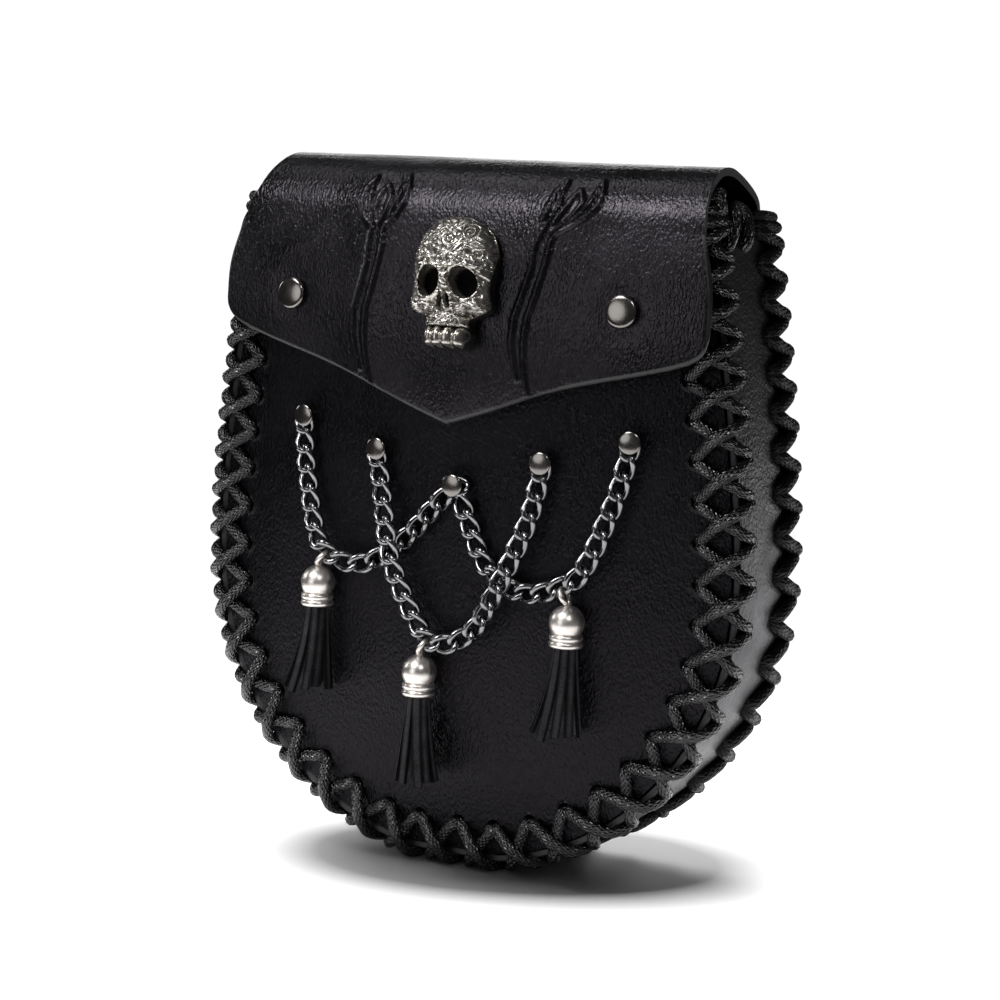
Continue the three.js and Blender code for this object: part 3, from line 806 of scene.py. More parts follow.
def floor_finish(name, colour):
    """Pale paper that glows outside an oval round the pouch, painting the shadow's outer edge;
    inside the oval it takes only the lamps' light.
    """
    finish = Finish(name, roughness=0.6, specular_ior_level=0.2, emission_color=(1, 1, 1, 1))
    place = finish.place()
    clouds = finish.noise(place, 3)
    inputs = {
        "Vector": place,
        "Location": SHADOW_PLACE,
        "Rotation": (0, 0, CAMERA_AZIMUTH),
        "Scale": SHADOW_SIZE,
    }
    shadow_oval = finish.node("Mapping", inputs, vector_type="TEXTURE").outputs["Vector"]
    reach = finish.node("VectorMath", {0: shadow_oval}, operation="LENGTH").outputs["Value"]
    return finish.wear(
        base_color=finish.tones(clouds, colour, (0.3, 0.985), (0.7, 1)),
        # Painted shadow: the floor glows only outside the oval, so it stays dark round the pouch's
        # foot
        emission_strength=finish.spread(reach, 0.74, 1.08, 0, 1),
    )


def backdrop_finish(name):
    """White paper that shines by itself."""
    finish = Finish(
        name, base_color=(0, 0, 0, 1), roughness=1, specular_ior_level=0,
        emission_color=(1, 1, 1, 1),
    )
    clouds = finish.noise(finish.place(), 2)
    return finish.wear(emission_strength=finish.spread(clouds, 0, 1, 1.02, 1.06))


# Grain, roughness and gloss of each face, and the cut edges' shades
LEATHER_FACES = {
    "Flap leather": (1, 0.27, 0.36),
    "Panel leather": (1.6, 0.27, 0.15),
    "Gusset leather": (0.8, 0.34, 0.45),
}
EDGES = {"Raw edge": 0.3, "Burnished edge": 0.65}


def leather_set(context, face, edge="Raw edge"):
    """The finish of a leather piece's face and that of its cut edges."""
    colours = context.scene.pouch_colours
    made = bpy.data.materials
    if face not in made:
        grain, roughness, gloss = LEATHER_FACES[face]
        leather_finish(face, tuple(colours.leather), grain, roughness, gloss)
    if edge not in made:
        edge_finish(edge, shade(tuple(colours.edge), EDGES[edge]))
    return made[face], made[edge]


class PouchSizes(bpy.types.PropertyGroup):
    """Sizes that a user would change."""

    leather: FloatProperty(
        name="Leather", description="Thickness of the leather",
        default=0.0024, unit="LENGTH",
    )
    cord: FloatProperty(
        name="Lacing cord", description="Diameter of the lacing cord",
        default=0.0038, unit="LENGTH",
    )
    relief: FloatProperty(
        name="Relief", description="Height of the stems pressed into the flap",
        default=0.0013, unit="LENGTH",
    )
    wire: FloatProperty(
        name="Chain wire", description="Diameter of the chain links' wire",
        default=0.002, unit="LENGTH",
    )
    strip: FloatProperty(
        name="Fringe strip", description="Width of a fringe strip",
        default=0.0028, unit="LENGTH",
    )
    strips: IntProperty(
        name="Fringe strips", description="Strips in one tassel",
        default=9, min=3, max=16,
    )


class PouchColours(bpy.types.PropertyGroup):
    """Colours of the finishes."""

    leather: FloatVectorProperty(
        name="Leather", description="Colour of the leather",
        default=(0.0052, 0.0048, 0.006), subtype="COLOR",
    )
    edge: FloatVectorProperty(
        name="Leather edge", description="Colour of cut edges",
        default=(0.045, 0.044, 0.047), subtype="COLOR",
    )
    lace: FloatVectorProperty(
        name="Lacing", description="Colour of the waxed cord",
        default=(0.0035, 0.0034, 0.0036), subtype="COLOR",
    )
    suede: FloatVectorProperty(
        name="Suede", description="Colour of the fringes",
        default=(0.04, 0.038, 0.042), subtype="COLOR",
    )
    nickel: FloatVectorProperty(
        name="Nickel", description="Colour of rivets and caps",
        default=(0.74, 0.695, 0.66), subtype="COLOR",
    )
    gunmetal: FloatVectorProperty(
        name="Gunmetal", description="Colour of the chains",
        default=(0.27, 0.27, 0.28), subtype="COLOR",
    )
    silver: FloatVectorProperty(
        name="Silver", description="Colour of the skull",
        default=(0.46, 0.436, 0.4), subtype="COLOR",
    )
    floor: FloatVectorProperty(
        name="Floor", description="Colour of the floor",
        default=(0.9, 0.9, 0.9), subtype="COLOR",
    )


class POUCH_OT_front_panel(bpy.types.Operator):
    """Make the rounded front wall"""

    bl_idname = "pouch.front_panel"
    bl_label = "Front Panel"

    def execute(self, context):
        holes = [moved_edge(edge_at(hole_share(i)), -HOLE_INSET) for i in range(LACES)]

        def nearest_hole(x, z):
            return min(holes, key=lambda hole: (hole.x - x) ** 2 + (hole.z - z) ** 2)

        def place(across, along):
            rim = moved_edge(edge_at(FOOT_AT * (1 - along)), -FRONT_INSET)
            side = 1 - 2 * across
            x = rim.x * side
            give = 1 - side ** 4
            hole = nearest_hole(x, rim.z)
            reach = math.hypot(x - hole.x, rim.z - hole.z)
            outwards = (x - hole.x) * hole.x + (rim.z - hole.z) * (hole.z - WIDEST_HEIGHT)
            inner = ramp(0.6, -1.2, outwards)
            lip = HOLE_LIP * math.exp(-((reach - HOLE_RADIUS) / HOLE_LIP_WIDTH) ** 2) * inner
            dent = HOLE_DENT * ramp(HOLE_RADIUS, HOLE_RADIUS - HOLE_SLOPE, reach)
            y = front_y(x, rim.z) - give * ripple(x, rim.z, 3.1, 0.5) - lip + dent
            return skewed(Vector((x, y, rim.z)))

        def is_fine(place_of, middle):
            spot = place_of(middle.x + 0.5, middle.y + 0.5)
            hole = nearest_hole(spot.x - FRONT_SKEW, spot.z)
            reach = math.hypot(spot.x - FRONT_SKEW - hole.x, spot.z - hole.z)
            return reach < HOLE_RADIUS + HOLE_MARGIN

        made = sheet(*PANEL_GRID, place, is_fine)
        finishes = leather_set(context, "Panel leather")
        add_leather(context, "front_panel", made, finishes, PANEL_EDGE)
        return {"FINISHED"}


class POUCH_OT_gusset(bpy.types.Operator):
    """Make the strip that joins front and back"""

    bl_idname = "pouch.gusset"
    bl_label = "Gusset"

    def execute(self, context):
        def place(across, along):
            edge = edge_at(lerp(GUSSET_ENDS, 1 - GUSSET_ENDS, along))
            front = front_edge_y(edge.z) + SEAM_SET
            rim = moved_edge(edge, 0)
            rim.y = lerp(front, BACK_Y - LEATHER - GAP, across)
            return skewed(rim + edge.out * gusset_off(rim.y, edge.z))

        made = sheet(*GUSSET_GRID, place)
        finishes = leather_set(context, "Gusset leather")
        add_leather(context, "gusset", made, finishes, GUSSET_EDGE)
        return {"FINISHED"}


# A tulip on a long stem of two ribs, pressed into the flap on both sides of the skull: strokes of
# places across and up, with half their width there
TULIP = (
    ((-2.2, -8.5, 0.4), (-5.6, -4.6, 0.6), (-7.4, 0.6, 0.7), (-6.6, 5, 0.6), (-4.2, 9, 0.2)),
    ((-2.2, -8.5, 0.3), (-3.6, -3, 0.4), (-4.4, 2.6, 0.4), (-4.2, 9, 0.2)),
    ((2, -8.5, 0.4), (5.4, -4.6, 0.6), (7.8, 0.4, 0.7), (8.2, 5, 0.6), (7, 9.4, 0.2)),
    ((2, -8.5, 0.3), (4, -3, 0.4), (5.6, 2.6, 0.4), (7, 9.4, 0.2)),
    (
        (-0.2, -8, 0.3), (-2, -2.6, 0.6), (-1.4, 2, 0.6), (0.9, 6, 0.2), (2.8, 2, 0.6),
        (2.2, -2.6, 0.6), (-0.2, -8, 0.3),
    ),
    (
        (-2.2, -8.5, 0.5), (-2.6, -13, 0.5), (-2.6, -19, 0.55), (-4.2, -26, 0.6), (-6, -33, 0.6),
        (-6.2, -40, 0.55), (-5, -46, 0.45), (-3.4, -51.5, 0.2),
    ),
    (
        (2, -8.5, 0.5), (2.2, -13, 0.5), (1.4, -19, 0.55), (0, -26, 0.6), (-1.8, -33, 0.6),
        (-2.2, -40, 0.55), (-1.4, -48, 0.45), (0.4, -56, 0.2),
    ),
)
TULIP_HEIGHT = 209.2
SOFT_SIDE = 0.7
SWELL = 7.0
RIB_SHARE = 0.75
SWELL_SHARE = 0.45
# How far the relief and the finer mesh reach: aside, down and up
RELIEF_REACH = (26, -72, 24)
FINE_REACH = (11, -60, 12)
# Place across, sway of the stem below the flower, and lean
TULIPS = ((-27, 0, 0), (37, -7, 0.06))


def on_tulip(tulip, x, z):
    """A flap place in a tulip's own lines."""
    across, sway, lean = tulip
    up = z - TULIP_HEIGHT
    return x - across - sway * ramp(2, -12, up) - lean * up, up


def near_tulip(tulip, x, z):
    across, up = on_tulip(tulip, x, z)
    aside, low, high = FINE_REACH
    return abs(across + 0.5) < aside and low < up < high


def nearest(stroke, x, z):
    """Distance to a stroke, and its half width there."""
    best = (1e9, 0)
    for (low_x, low_z, low_half), (high_x, high_z, high_half) in zip(stroke, stroke[1:]):
        way_x, way_z = high_x - low_x, high_z - low_z
        off_x, off_z = x - low_x, z - low_z
        t = clamp((off_x * way_x + off_z * way_z) / (way_x ** 2 + way_z ** 2))
        gap = math.hypot(off_x - t * way_x, off_z - t * way_z)
        if gap < best[0]:
            best = (gap, lerp(low_half, high_half, t))
    return best


def stem_relief(x, z):
    """Share of the relief's height at a place on the flap: ribs on a soft swelling."""
    total = 0
    aside, low, high = RELIEF_REACH
    for tulip in TULIPS:
        across, up = on_tulip(tulip, x, z)
        if abs(across) > aside or not low < up < high:
            continue
        ribs, closest = 0, 1e9
        for stroke in TULIP:
            gap, half = nearest(stroke, across, up)
            closest = min(closest, gap)
            ribs = max(ribs, max(0, 1 - (gap / (half + SOFT_SIDE)) ** 2) ** 1.5)
        swell = math.exp(-(closest / SWELL) ** 2)
        total = max(total, RIB_SHARE * ribs + SWELL_SHARE * swell)
    return total


def fold_at(share, side):
    """The fold over the top, from the back at 0 to the tongue at 1."""
    spot = spline([Vector(row) for row in FOLD], share)
    bend = math.sin(math.pi * share)
    half = lerp(BACK_HALF, TONGUE_TOP_HALF, share) - NECK * bend
    x = half * side + FOLD_SHIFT * bend
    fall = EDGE_FALL * (share * side * TONGUE_TOP_HALF / TONGUE_HALF) ** 2
    return Vector((x, spot.x + fall, spot.y - FOLD_TILT * bend * x))


def tongue_drop(side):
    """The tongue's length from its top to its lower edge."""
    return TONGUE_TOP - table_at(TONGUE_EDGE, abs(side) * TONGUE_HALF)


def tongue_share(row, side):
    """A row's share of the tongue's length: even rows, then a few in the rounded edge."""
    brim = EDGE_ROUND / tongue_drop(side)
    plain = TONGUE_ROWS - EDGE_ROWS
    if row <= plain:
        return (1 - brim) * row / plain
    return 1 - brim * (1 - (row - plain) / EDGE_ROWS) ** 1.7


def tongue_at(share, side):
    widen = math.sin(math.pi / 2 * min(1, 1.4 * share))
    x = side * lerp(TONGUE_TOP_HALF, TONGUE_HALF, widen)
    z = TONGUE_TOP - tongue_drop(side) * share - TONGUE_TILT * x * share
    x += TIP_SHIFT * share * (1 - side * side)
    return Vector((x, tongue_y(x, z), z))


def edge_gap(share, side):
    """Distance from the tongue's cut edge."""
    return min((1 - share) * tongue_drop(side) * 0.94, (1 - abs(side)) * TONGUE_HALF)


def flap_side(across):
    """From 1 on one side of the flap to -1 on the other, with narrow columns at both."""
    return lerp(1 - 2 * across, math.sin((0.5 - across) * math.pi), 0.72)


def fold_height(share, side):
    """A fold place's height, as if the fold were laid flat over the tongue."""
    return TONGUE_TOP + (fold_at(1, side) - fold_at(share, side)).length


class POUCH_OT_back_and_flap(bpy.types.Operator):
    """Make the back wall, the fold and the flap in one sheet"""

    bl_idname = "pouch.back_and_flap"
    bl_label = "Back and Flap"

    def execute(self, context):
        relief = context.scene.pouch_sizes.relief / MM

        def place(across, along):
            row = along * FLAP_ROWS
            side = flap_side(across)
            if row <= BACK_ROWS:
                edge = edge_at(lerp(FOOT_AT, FOLD_AT, row / BACK_ROWS))
                rim = moved_edge(edge, BACK_FLARE * ramp(FLARE_TOP, FLARE_FULL, edge.z))
                x = -rim.x * side
                sag = (1 - side ** 4) * ripple(x, rim.z, 7.7, 0.25)
                return Vector((x, BACK_Y + min(0, sag), rim.z))
            if row <= BACK_ROWS + FOLD_ROWS:
                share = (row - BACK_ROWS) / FOLD_ROWS
                spot = fold_at(share, side)
                way = fold_at(min(1, share + 0.01), side) - fold_at(share - 0.01, side)
                out = Vector((-1, 0, FOLD_TILT)).cross(way).normalized()
                return spot + out * relief * stem_relief(spot.x, fold_height(share, side))
            share = tongue_share(row - BACK_ROWS - FOLD_ROWS, side)
            spot = tongue_at(share, side)
            out = front_normal(tongue_y, spot.x, spot.z)
            lift = relief * stem_relief(spot.x, spot.z)
            for x, z in FLAP_RIVETS.values():
                lift -= RIVET_SINK * ramp(10, 5, math.hypot(spot.x - x, spot.z - z))
            inside = EDGE_ROUND - min(EDGE_ROUND, edge_gap(share, side))
            lift -= (EDGE_ROUND - math.sqrt(EDGE_ROUND ** 2 - inside ** 2)) * ramp(0, 0.3, share)
            return spot + out * lift

        def is_fine(place_of, middle):
            row = (middle.y + 0.5) * FLAP_ROWS
            if not BACK_ROWS + FOLD_ROWS * 0.4 < row < FLAP_ROWS - EDGE_ROWS:
                return False
            spot = place_of(middle.x + 0.5, middle.y + 0.5)
            height = spot.z
            if row < BACK_ROWS + FOLD_ROWS:
                height = fold_height((row - BACK_ROWS) / FOLD_ROWS, flap_side(middle.x + 0.5))
            return any(near_tulip(tulip, spot.x, height) for tulip in TULIPS)

        def is_edge(across, along):
            row = along * FLAP_ROWS - BACK_ROWS - FOLD_ROWS
            side = flap_side(across)
            return row > 0 and edge_gap(tongue_share(row, side), side) < EDGE_ROUND * 0.8

        made = sheet(FLAP_COLUMNS, FLAP_ROWS, place, is_fine, is_edge)
        finishes = leather_set(context, "Flap leather", "Burnished edge")
        add_leather(context, "back_and_flap", made, finishes, FLAP_EDGE)
        return {"FINISHED"}


class POUCH_OT_belt_loop(bpy.types.Operator):
    """Make the strap on the back that a belt runs through"""

    bl_idname = "pouch.belt_loop"
    bl_label = "Belt Loop"

    def execute(self, context):
        def place(across, along):
            z = lerp(LOOP_PROFILE[0][0], LOOP_PROFILE[-1][0], along)
            off = table_at(LOOP_PROFILE, z) + LEATHER
            return lerp(LOOP_HALF, -LOOP_HALF, across), BACK_Y + max(off, GAP + LEATHER), z

        made = sheet(*LOOP_GRID, place)
        finishes = leather_set(context, "Flap leather")
        add_leather(context, "belt_loop", made, finishes, LOOP_EDGE)
        return {"FINISHED"}


def lace_place(share, reach, lift, forward):
    """A place over the seam: on a panel, round the corner or on the gusset."""
    edge = edge_at(share)
    ahead = Vector((0, forward, 0))
    corner = moved_edge(edge, BACK_FLARE)
    corner.y = BACK_Y if forward > 0 else front_edge_y(edge.z)
    if reach > CORNER:
        spot = corner - edge.out * (reach - CORNER)
        if forward < 0:
            spot.y = front_y(spot.x, spot.z)
        way = ahead
    elif reach < -CORNER:
        spot = corner + ahead * (reach + CORNER)
        spot += edge.out * (gusset_off(spot.y, edge.z) - BACK_FLARE)
        way = edge.out
    else:
        turn = math.pi / 4 * (1 + reach / CORNER)
        spot = corner
        way = ahead * math.sin(turn) + edge.out * math.cos(turn)
    return skewed(spot + way * lift)


class POUCH_OT_lacing(bpy.types.Operator):
    """Make the crossed lacing of both edges"""

    bl_idname = "pouch.lacing"
    bl_label = "Lacing"

    def execute(self, context):
        radius = context.scene.pouch_sizes.cord / MM / 2
        colour = tuple(context.scene.pouch_colours.lace)
        waxed = lace_finish("Waxed lace", colour, gloss=0.82, roughness=0.12)
        worn = lace_finish("Worn lace", colour, gloss=0.3, roughness=0.4)
        for node, forward, finish in (("front_lacing", -1, waxed), ("back_lacing", 1, worn)):
            made = bmesh.new()
            made.loops.layers.uv.new("UVMap")
            thick = radius * (BACK_CORD if forward > 0 else 1)
            for i in range(LACES - 1):
                self.add_strand(made, i, i + 1, OVER, forward, thick)
                self.add_strand(made, i + 1, i, UNDER, forward, thick)
            for end, step in ((0, 1), (LACES - 1, -1)):
                for panel_off, side_off, layer in END_STRANDS:
                    holes = (end - panel_off * step, end - side_off * step)
                    self.add_strand(made, *holes, layer, forward, radius)
            if forward < 0:
                self.add_knot(made, radius)
                for side in (-1, 1):
                    self.add_top_cord(made, side, radius)
            add_piece(f"{node}_cords", closed(made), [finish], node)
        return {"FINISHED"}

    def add_knot(self, made, radius):
        """A curled end of the cord at the top right of the front seam."""
        edge = edge_at(KNOT_AT)
        centre = moved_edge(edge, KNOT_OFF)
        centre.y = front_edge_y(edge.z) + KNOT_DEPTH
        centres = []
        for step in range(KNOT_STEPS + 1):
            share = step / KNOT_STEPS
            turn = 2 * math.pi * (0.1 + 1.55 * share)
            reach = lerp(3.6, 1.1, share)
            curl = (reach * math.cos(turn), -KNOT_FALL * share, reach * math.sin(turn) - 0.6)
            centres.append(centre + Vector(curl))
        cord(made, centres, radius, KNOT_ENDS)

    def add_top_cord(self, made, side, radius):
        """The cord that ends over the gusset's top."""
        top = edge_at(GUSSET_ENDS if side < 0 else 1 - GUSSET_ENDS)
        front = front_edge_y(top.z)
        points = []
        for depth, off, rise in TOP_CORD:
            spot = moved_edge(top, off)
            points.append(Vector((spot.x, front + depth, top.z + rise)))
        centres = [spline(points, i / TOP_CORD_STEPS) for i in range(TOP_CORD_STEPS + 1)]
        cord(made, centres, radius)

    def add_strand(self, made, panel_hole, side_hole, layer, forward, radius):
        way = BACK_STRAND if forward > 0 else FRONT_STRAND
        centres = []
        for step in range(STRAND_STEPS + 1):
            along = step / STRAND_STEPS
            share = hole_share(lerp(panel_hole, side_hole, along))
            reach = table_at(way, along, REACH)
            lift = table_at(way, along, layer)
            spot = lace_place(share, reach, lift, forward)
            spot.z = max(spot.z, radius)
            centres.append(spot)
        cord(made, centres, radius)


# Place across and up, radius and turning of the scrolls
ROSETTES = (
    (6.6, 15, 2.6, 1), (0.4, 12.6, 1.9, -1), (-5.4, 13.4, 1.8, 1), (-9.2, 8.6, 1.9, -1),
    (4.8, 6.4, 1.6, -1), (-2.4, 6.8, 1.5, 1), (10.2, 8.4, 1.8, 1),
)


def skull_texture(x, y):
    """Chased scrolls and hammer marks on the bone, from 0 in a groove to 1 on a ridge."""
    for across, up, size, hand in ROSETTES:
        reach = math.hypot(x - across, y - up)
        if reach < size:
            turn = math.atan2(y - up, x - across)
            return 0.55 + 0.45 * math.cos(reach * 5 - turn * hand)
    flow = 2.4 * noise.noise(Vector((x * 0.16, y * 0.16, 4.2)))
    wave = noise.noise(Vector((x * 0.42 + flow, y * 0.7 - flow, 1.7)))
    beads = noise.noise(Vector((x * 0.8, y * 0.8, 8.3)))
    return clamp(2.9 * abs(wave) + 0.12 + 0.35 * beads)


# Cheekbones, the hollows below them and beside the nose: rise, place aside and up, width and height
SKULL_BUMPS = (
    (1.7, 11.2, -6.6, 2.2, 1.8), (-2.2, 6.6, -9, 1.6, 1.7), (-1.6, 4.4, -6.2, 1.1, 1.7),
)
SKULL_ROUND = 2.1
TEETH = (-5.6, -1.9, 2, 5.8)
TOOTH_ROUND = 2.4


def dome(reach):
    return max(0, 1 - reach) ** 0.5


def skull_relief(x, y):
    """Height of the skull's face over its flat back, and how hollow it is there."""
    side = abs(x)
    reach = (side / 14.5) ** SKULL_ROUND + (abs(y - 4.5) / 15.9) ** SKULL_ROUND
    cranium = 8.8 * dome(reach)
    face = 7.9 * dome((side / 14.6) ** SKULL_ROUND) * ramp(-11.5, -8.2, y) * ramp(8, 2, y)
    jaw = 7.4 * dome((side / 8.8) ** SKULL_ROUND) * ramp(-5, -8.5, y) * ramp(-20.6, -18.4, y)
    brow_line = (y - 5.2 + 0.03 * (side - 6) ** 2) / 1.1
    brow = 0.9 * math.exp(-brow_line ** 2) * ramp(12.5, 9.5, side)
    bridge = 1.3 * math.exp(-((x / 1.5) ** 2)) * ramp(-7.5, -4, y) * ramp(5, 1, y)
    height = 1.2 + max(cranium, face, jaw) + brow + bridge
    for rise, aside, up, wide, tall in SKULL_BUMPS:
        height += rise * math.exp(-(((side - aside) / wide) ** 2 + ((y - up) / tall) ** 2))
    socket = math.hypot((side - 6.1) / (4.3 + 0.07 * y), (y + 0.1 + 0.14 * (side - 6)) / 4.3)
    hole = ramp(1.05, 0.9, socket)
    height += 0.55 * math.exp(-(((socket - 1.14) / 0.1) ** 2))
    nose = math.hypot((side - 1.1 + 0.2 * (y + 5)) / 0.85, (y + 5.6) / 2.3)
    nostril = ramp(1.15, 0.7, nose)
    hollow = max(hole, nostril)
    pattern = skull_texture(x, y)
    if y > -13.4:
        plain = max(hole, nostril, ramp(1.22, 1.08, socket), ramp(-12.2, -13.4, y))
        height += 0.75 * (pattern - 0.5) * (1 - plain)
        hollow = max(hollow, ramp(0.7, 0.1, pattern) * 0.7 * (1 - plain))
    if y < -12.8:
        gap = 1.0
        for centre in TEETH:
            reach = abs((x - centre) / 2.1) ** TOOTH_ROUND + abs((y + 16.5) / 3.1) ** TOOTH_ROUND
            gap = min(gap, reach ** (1 / TOOTH_ROUND))
        bulge = dome(gap ** TOOTH_ROUND)
        height += (2.7 * bulge - 1.3) * ramp(-12.8, -13.6, y)
        hollow = max(hollow, ramp(0.4, 0.05, bulge) * ramp(-12.9, -13.5, y))
    height -= 6.2 * hole * min(1, height / 9)
    height -= 2.6 * nostril
    return max(0.5, height), min(1, hollow)


class POUCH_OT_skull(bpy.types.Operator):
    """Make the cast skull on the flap"""

    bl_idname = "pouch.skull"
    bl_label = "Skull"

    def execute(self, context):
        out = Vector((0, -1, SKULL_LEAN)).normalized()
        up = Vector((0, SKULL_LEAN, 1)).normalized()
        foot = Vector((SKULL_ACROSS, tongue_y(0, SKULL_HEIGHT), SKULL_HEIGHT))
        centre = foot + out * SKULL_STAND

        def local(across, along):
            y = -SKULL_HALF_TALL * math.cos(math.pi * along)
            y = lerp(y, lerp(-SKULL_HALF_TALL, SKULL_HALF_TALL, along), 0.55)
            half = table_at(SKULL_OUTLINE, y)
            span = (across * 2 - 1) * (1 + SKULL_WALL)
            x = half * min(1, max(-1, span))
            height, hollow = skull_relief(x, y)
            wall = max(0, abs(span) - 1) / SKULL_WALL
            end = ramp(0.012, 0, min(along, 1 - along))
            # Painted shade: the side wall's hollow value rises towards 0.92, darkening it on top of
            # the patina in the casting's hollows
            return x, y, height * (1 - max(wall, end)), max(hollow, 0.92 * min(1, wall * 4))

        made = bmesh.new()
        grid(made, *SKULL_GRID)
        patina_and_wall_shade_layer = made.verts.layers.float.new("hollow")
        for vert in made.verts:
            x, y, height, hollow = local(vert.co.x + 0.5, vert.co.y + 0.5)
            vert[patina_and_wall_shade_layer] = hollow
            vert.co = in_frame(centre + Vector((x * SKULL_NARROW, 0, 0)) + up * y + out * height)
        rim = [edge for edge in made.edges if edge.is_boundary]
        bmesh.ops.holes_fill(made, edges=rim, sides=0)
        finish = antique_finish("Antique silver", tuple(context.scene.pouch_colours.silver))
        node = "skull_concho"
        add_piece(f"{node}_silver", closed(made), [finish], node, SILVER_CREASE)
        return {"FINISHED"}


# A copy of the nickel colour scaled by a tone: the rivets' darker copy is painted shade, the caps'
# lighter copy painted light
def nickel(context, name, tone, roughness):
    if name not in bpy.data.materials:
        polish_finish(name, shade(tuple(context.scene.pouch_colours.nickel), tone), roughness)
    return bpy.data.materials[name]


class POUCH_OT_rivets(bpy.types.Operator):
    """Make the caps on the flap and the posts that the chains hang from"""

    bl_idname = "pouch.rivets"
    bl_label = "Rivets"

    def execute(self, context):
        for places, profile, surface in (
            (FLAP_RIVETS, FLAP_RIVET_PROFILE, tongue_y),
            (CHAIN_RIVETS, CHAIN_RIVET_PROFILE, front_y),
        ):
            for name, (across, height) in places.items():
                spot, out = on_front(surface, across, height, GAP)
                made = turned(profile)
                seat(made, spot, out)
                # The rivets take a darker copy of the nickel: painted shade
                finish = nickel(context, "Rivet nickel", tone=0.33, roughness=0.16)
                add_piece(f"{name}_nickel", made, [finish], name, NICKEL_CREASE)
        return {"FINISHED"}


class LinkFrame(NamedTuple):
    centre: Vector
    along: Vector
    side: Vector
    out: Vector


def spaced(points, pitch):
    """Places a pitch apart on a smooth curve through points."""
    fine = [spline(points, i / ROUTE_STEPS) for i in range(ROUTE_STEPS + 1)]
    run = lengths(fine)
    count = round(run[-1] / pitch)
    return [place_on(fine, run, run[-1] * i / count) for i in range(count + 1)]


def link_frames(*routes):
    """Each link's frame: along the chain, to its side and off the leather."""
    places = []
    for route in routes:
        points = [on_front(front_y, *row)[0] for row in route]
        places += spaced(points, LINK_PITCH)[1 if places else 0:]
    frames = []
    for i, centre in enumerate(places):
        along = (places[min(i + 1, len(places) - 1)] - places[max(i - 1, 0)]).normalized()
        out = front_normal(front_y, centre.x, centre.z)
        side = out.cross(along).normalized()
        frames.append(LinkFrame(centre, along, side, along.cross(side)))
    return frames


OUTER_FRAMES = link_frames(OUTER_LEFT, OUTER_RIGHT)
INNER_FRAMES = link_frames(INNER)


def add_link(made, link, wire):
    """Adds a twisted oval link."""
    half = LINK_PITCH / 2 + wire - LINK_PLAY
    basis = Matrix((link.along, link.side, link.out)).transposed()
    for vert in grid(made, WIRE_SIDES, LINK_STEPS):
        turn = 2 * math.pi * (vert.co.y + 0.5)
        round_wire = 2 * math.pi * (vert.co.x + 0.5)
        cos, sin = math.cos(turn), math.sin(turn)
        way = Vector((-half * sin, LINK_SIDE * cos, 2 * LINK_TWIST * math.cos(2 * turn)))
        away = Vector((LINK_SIDE * cos, half * sin, 0)).normalized()
        spot = Vector((half * cos, LINK_SIDE * sin, LINK_TWIST * math.sin(2 * turn)))
        spot += away * wire * math.cos(round_wire)
        spot += away.cross(way).normalized() * wire * math.sin(round_wire)
        vert.co = in_frame(link.centre + basis @ spot)


class POUCH_OT_chains(bpy.types.Operator):
    """Make both chains"""

    bl_idname = "pouch.chains"
    bl_label = "Chains"

    def execute(self, context):
        wire = context.scene.pouch_sizes.wire / MM / 2
        colour = tuple(context.scene.pouch_colours.gunmetal)
        finish = polish_finish("Gunmetal", colour, roughness=0.14)
        for node, frames in (("chain_outer", OUTER_FRAMES), ("chain_inner", INNER_FRAMES)):
            made = bmesh.new()
            for link in frames:
                add_link(made, link, wire)
            add_piece(f"{node}_links", closed(made), [finish], node)
        return {"FINISHED"}


def hanging_at(frames, near):
    """The way of the link that a tassel hangs from, up to its eye, and the foot of its cap."""
    low = [link for link in frames if link.centre.z < HANG_BELOW]
    held = min(low, key=lambda link: abs(link.centre.x - near))
    up = held.side * (-1 if held.side.z < 0 else 1)
    slack = 2 * EYE_RADIUS - EYE_WIRE - EYE_PLAY - GAP
    foot = held.centre - up * (LINK_SIDE + slack)
    foot.z -= EYE_RISE
    return held.along, up, foot


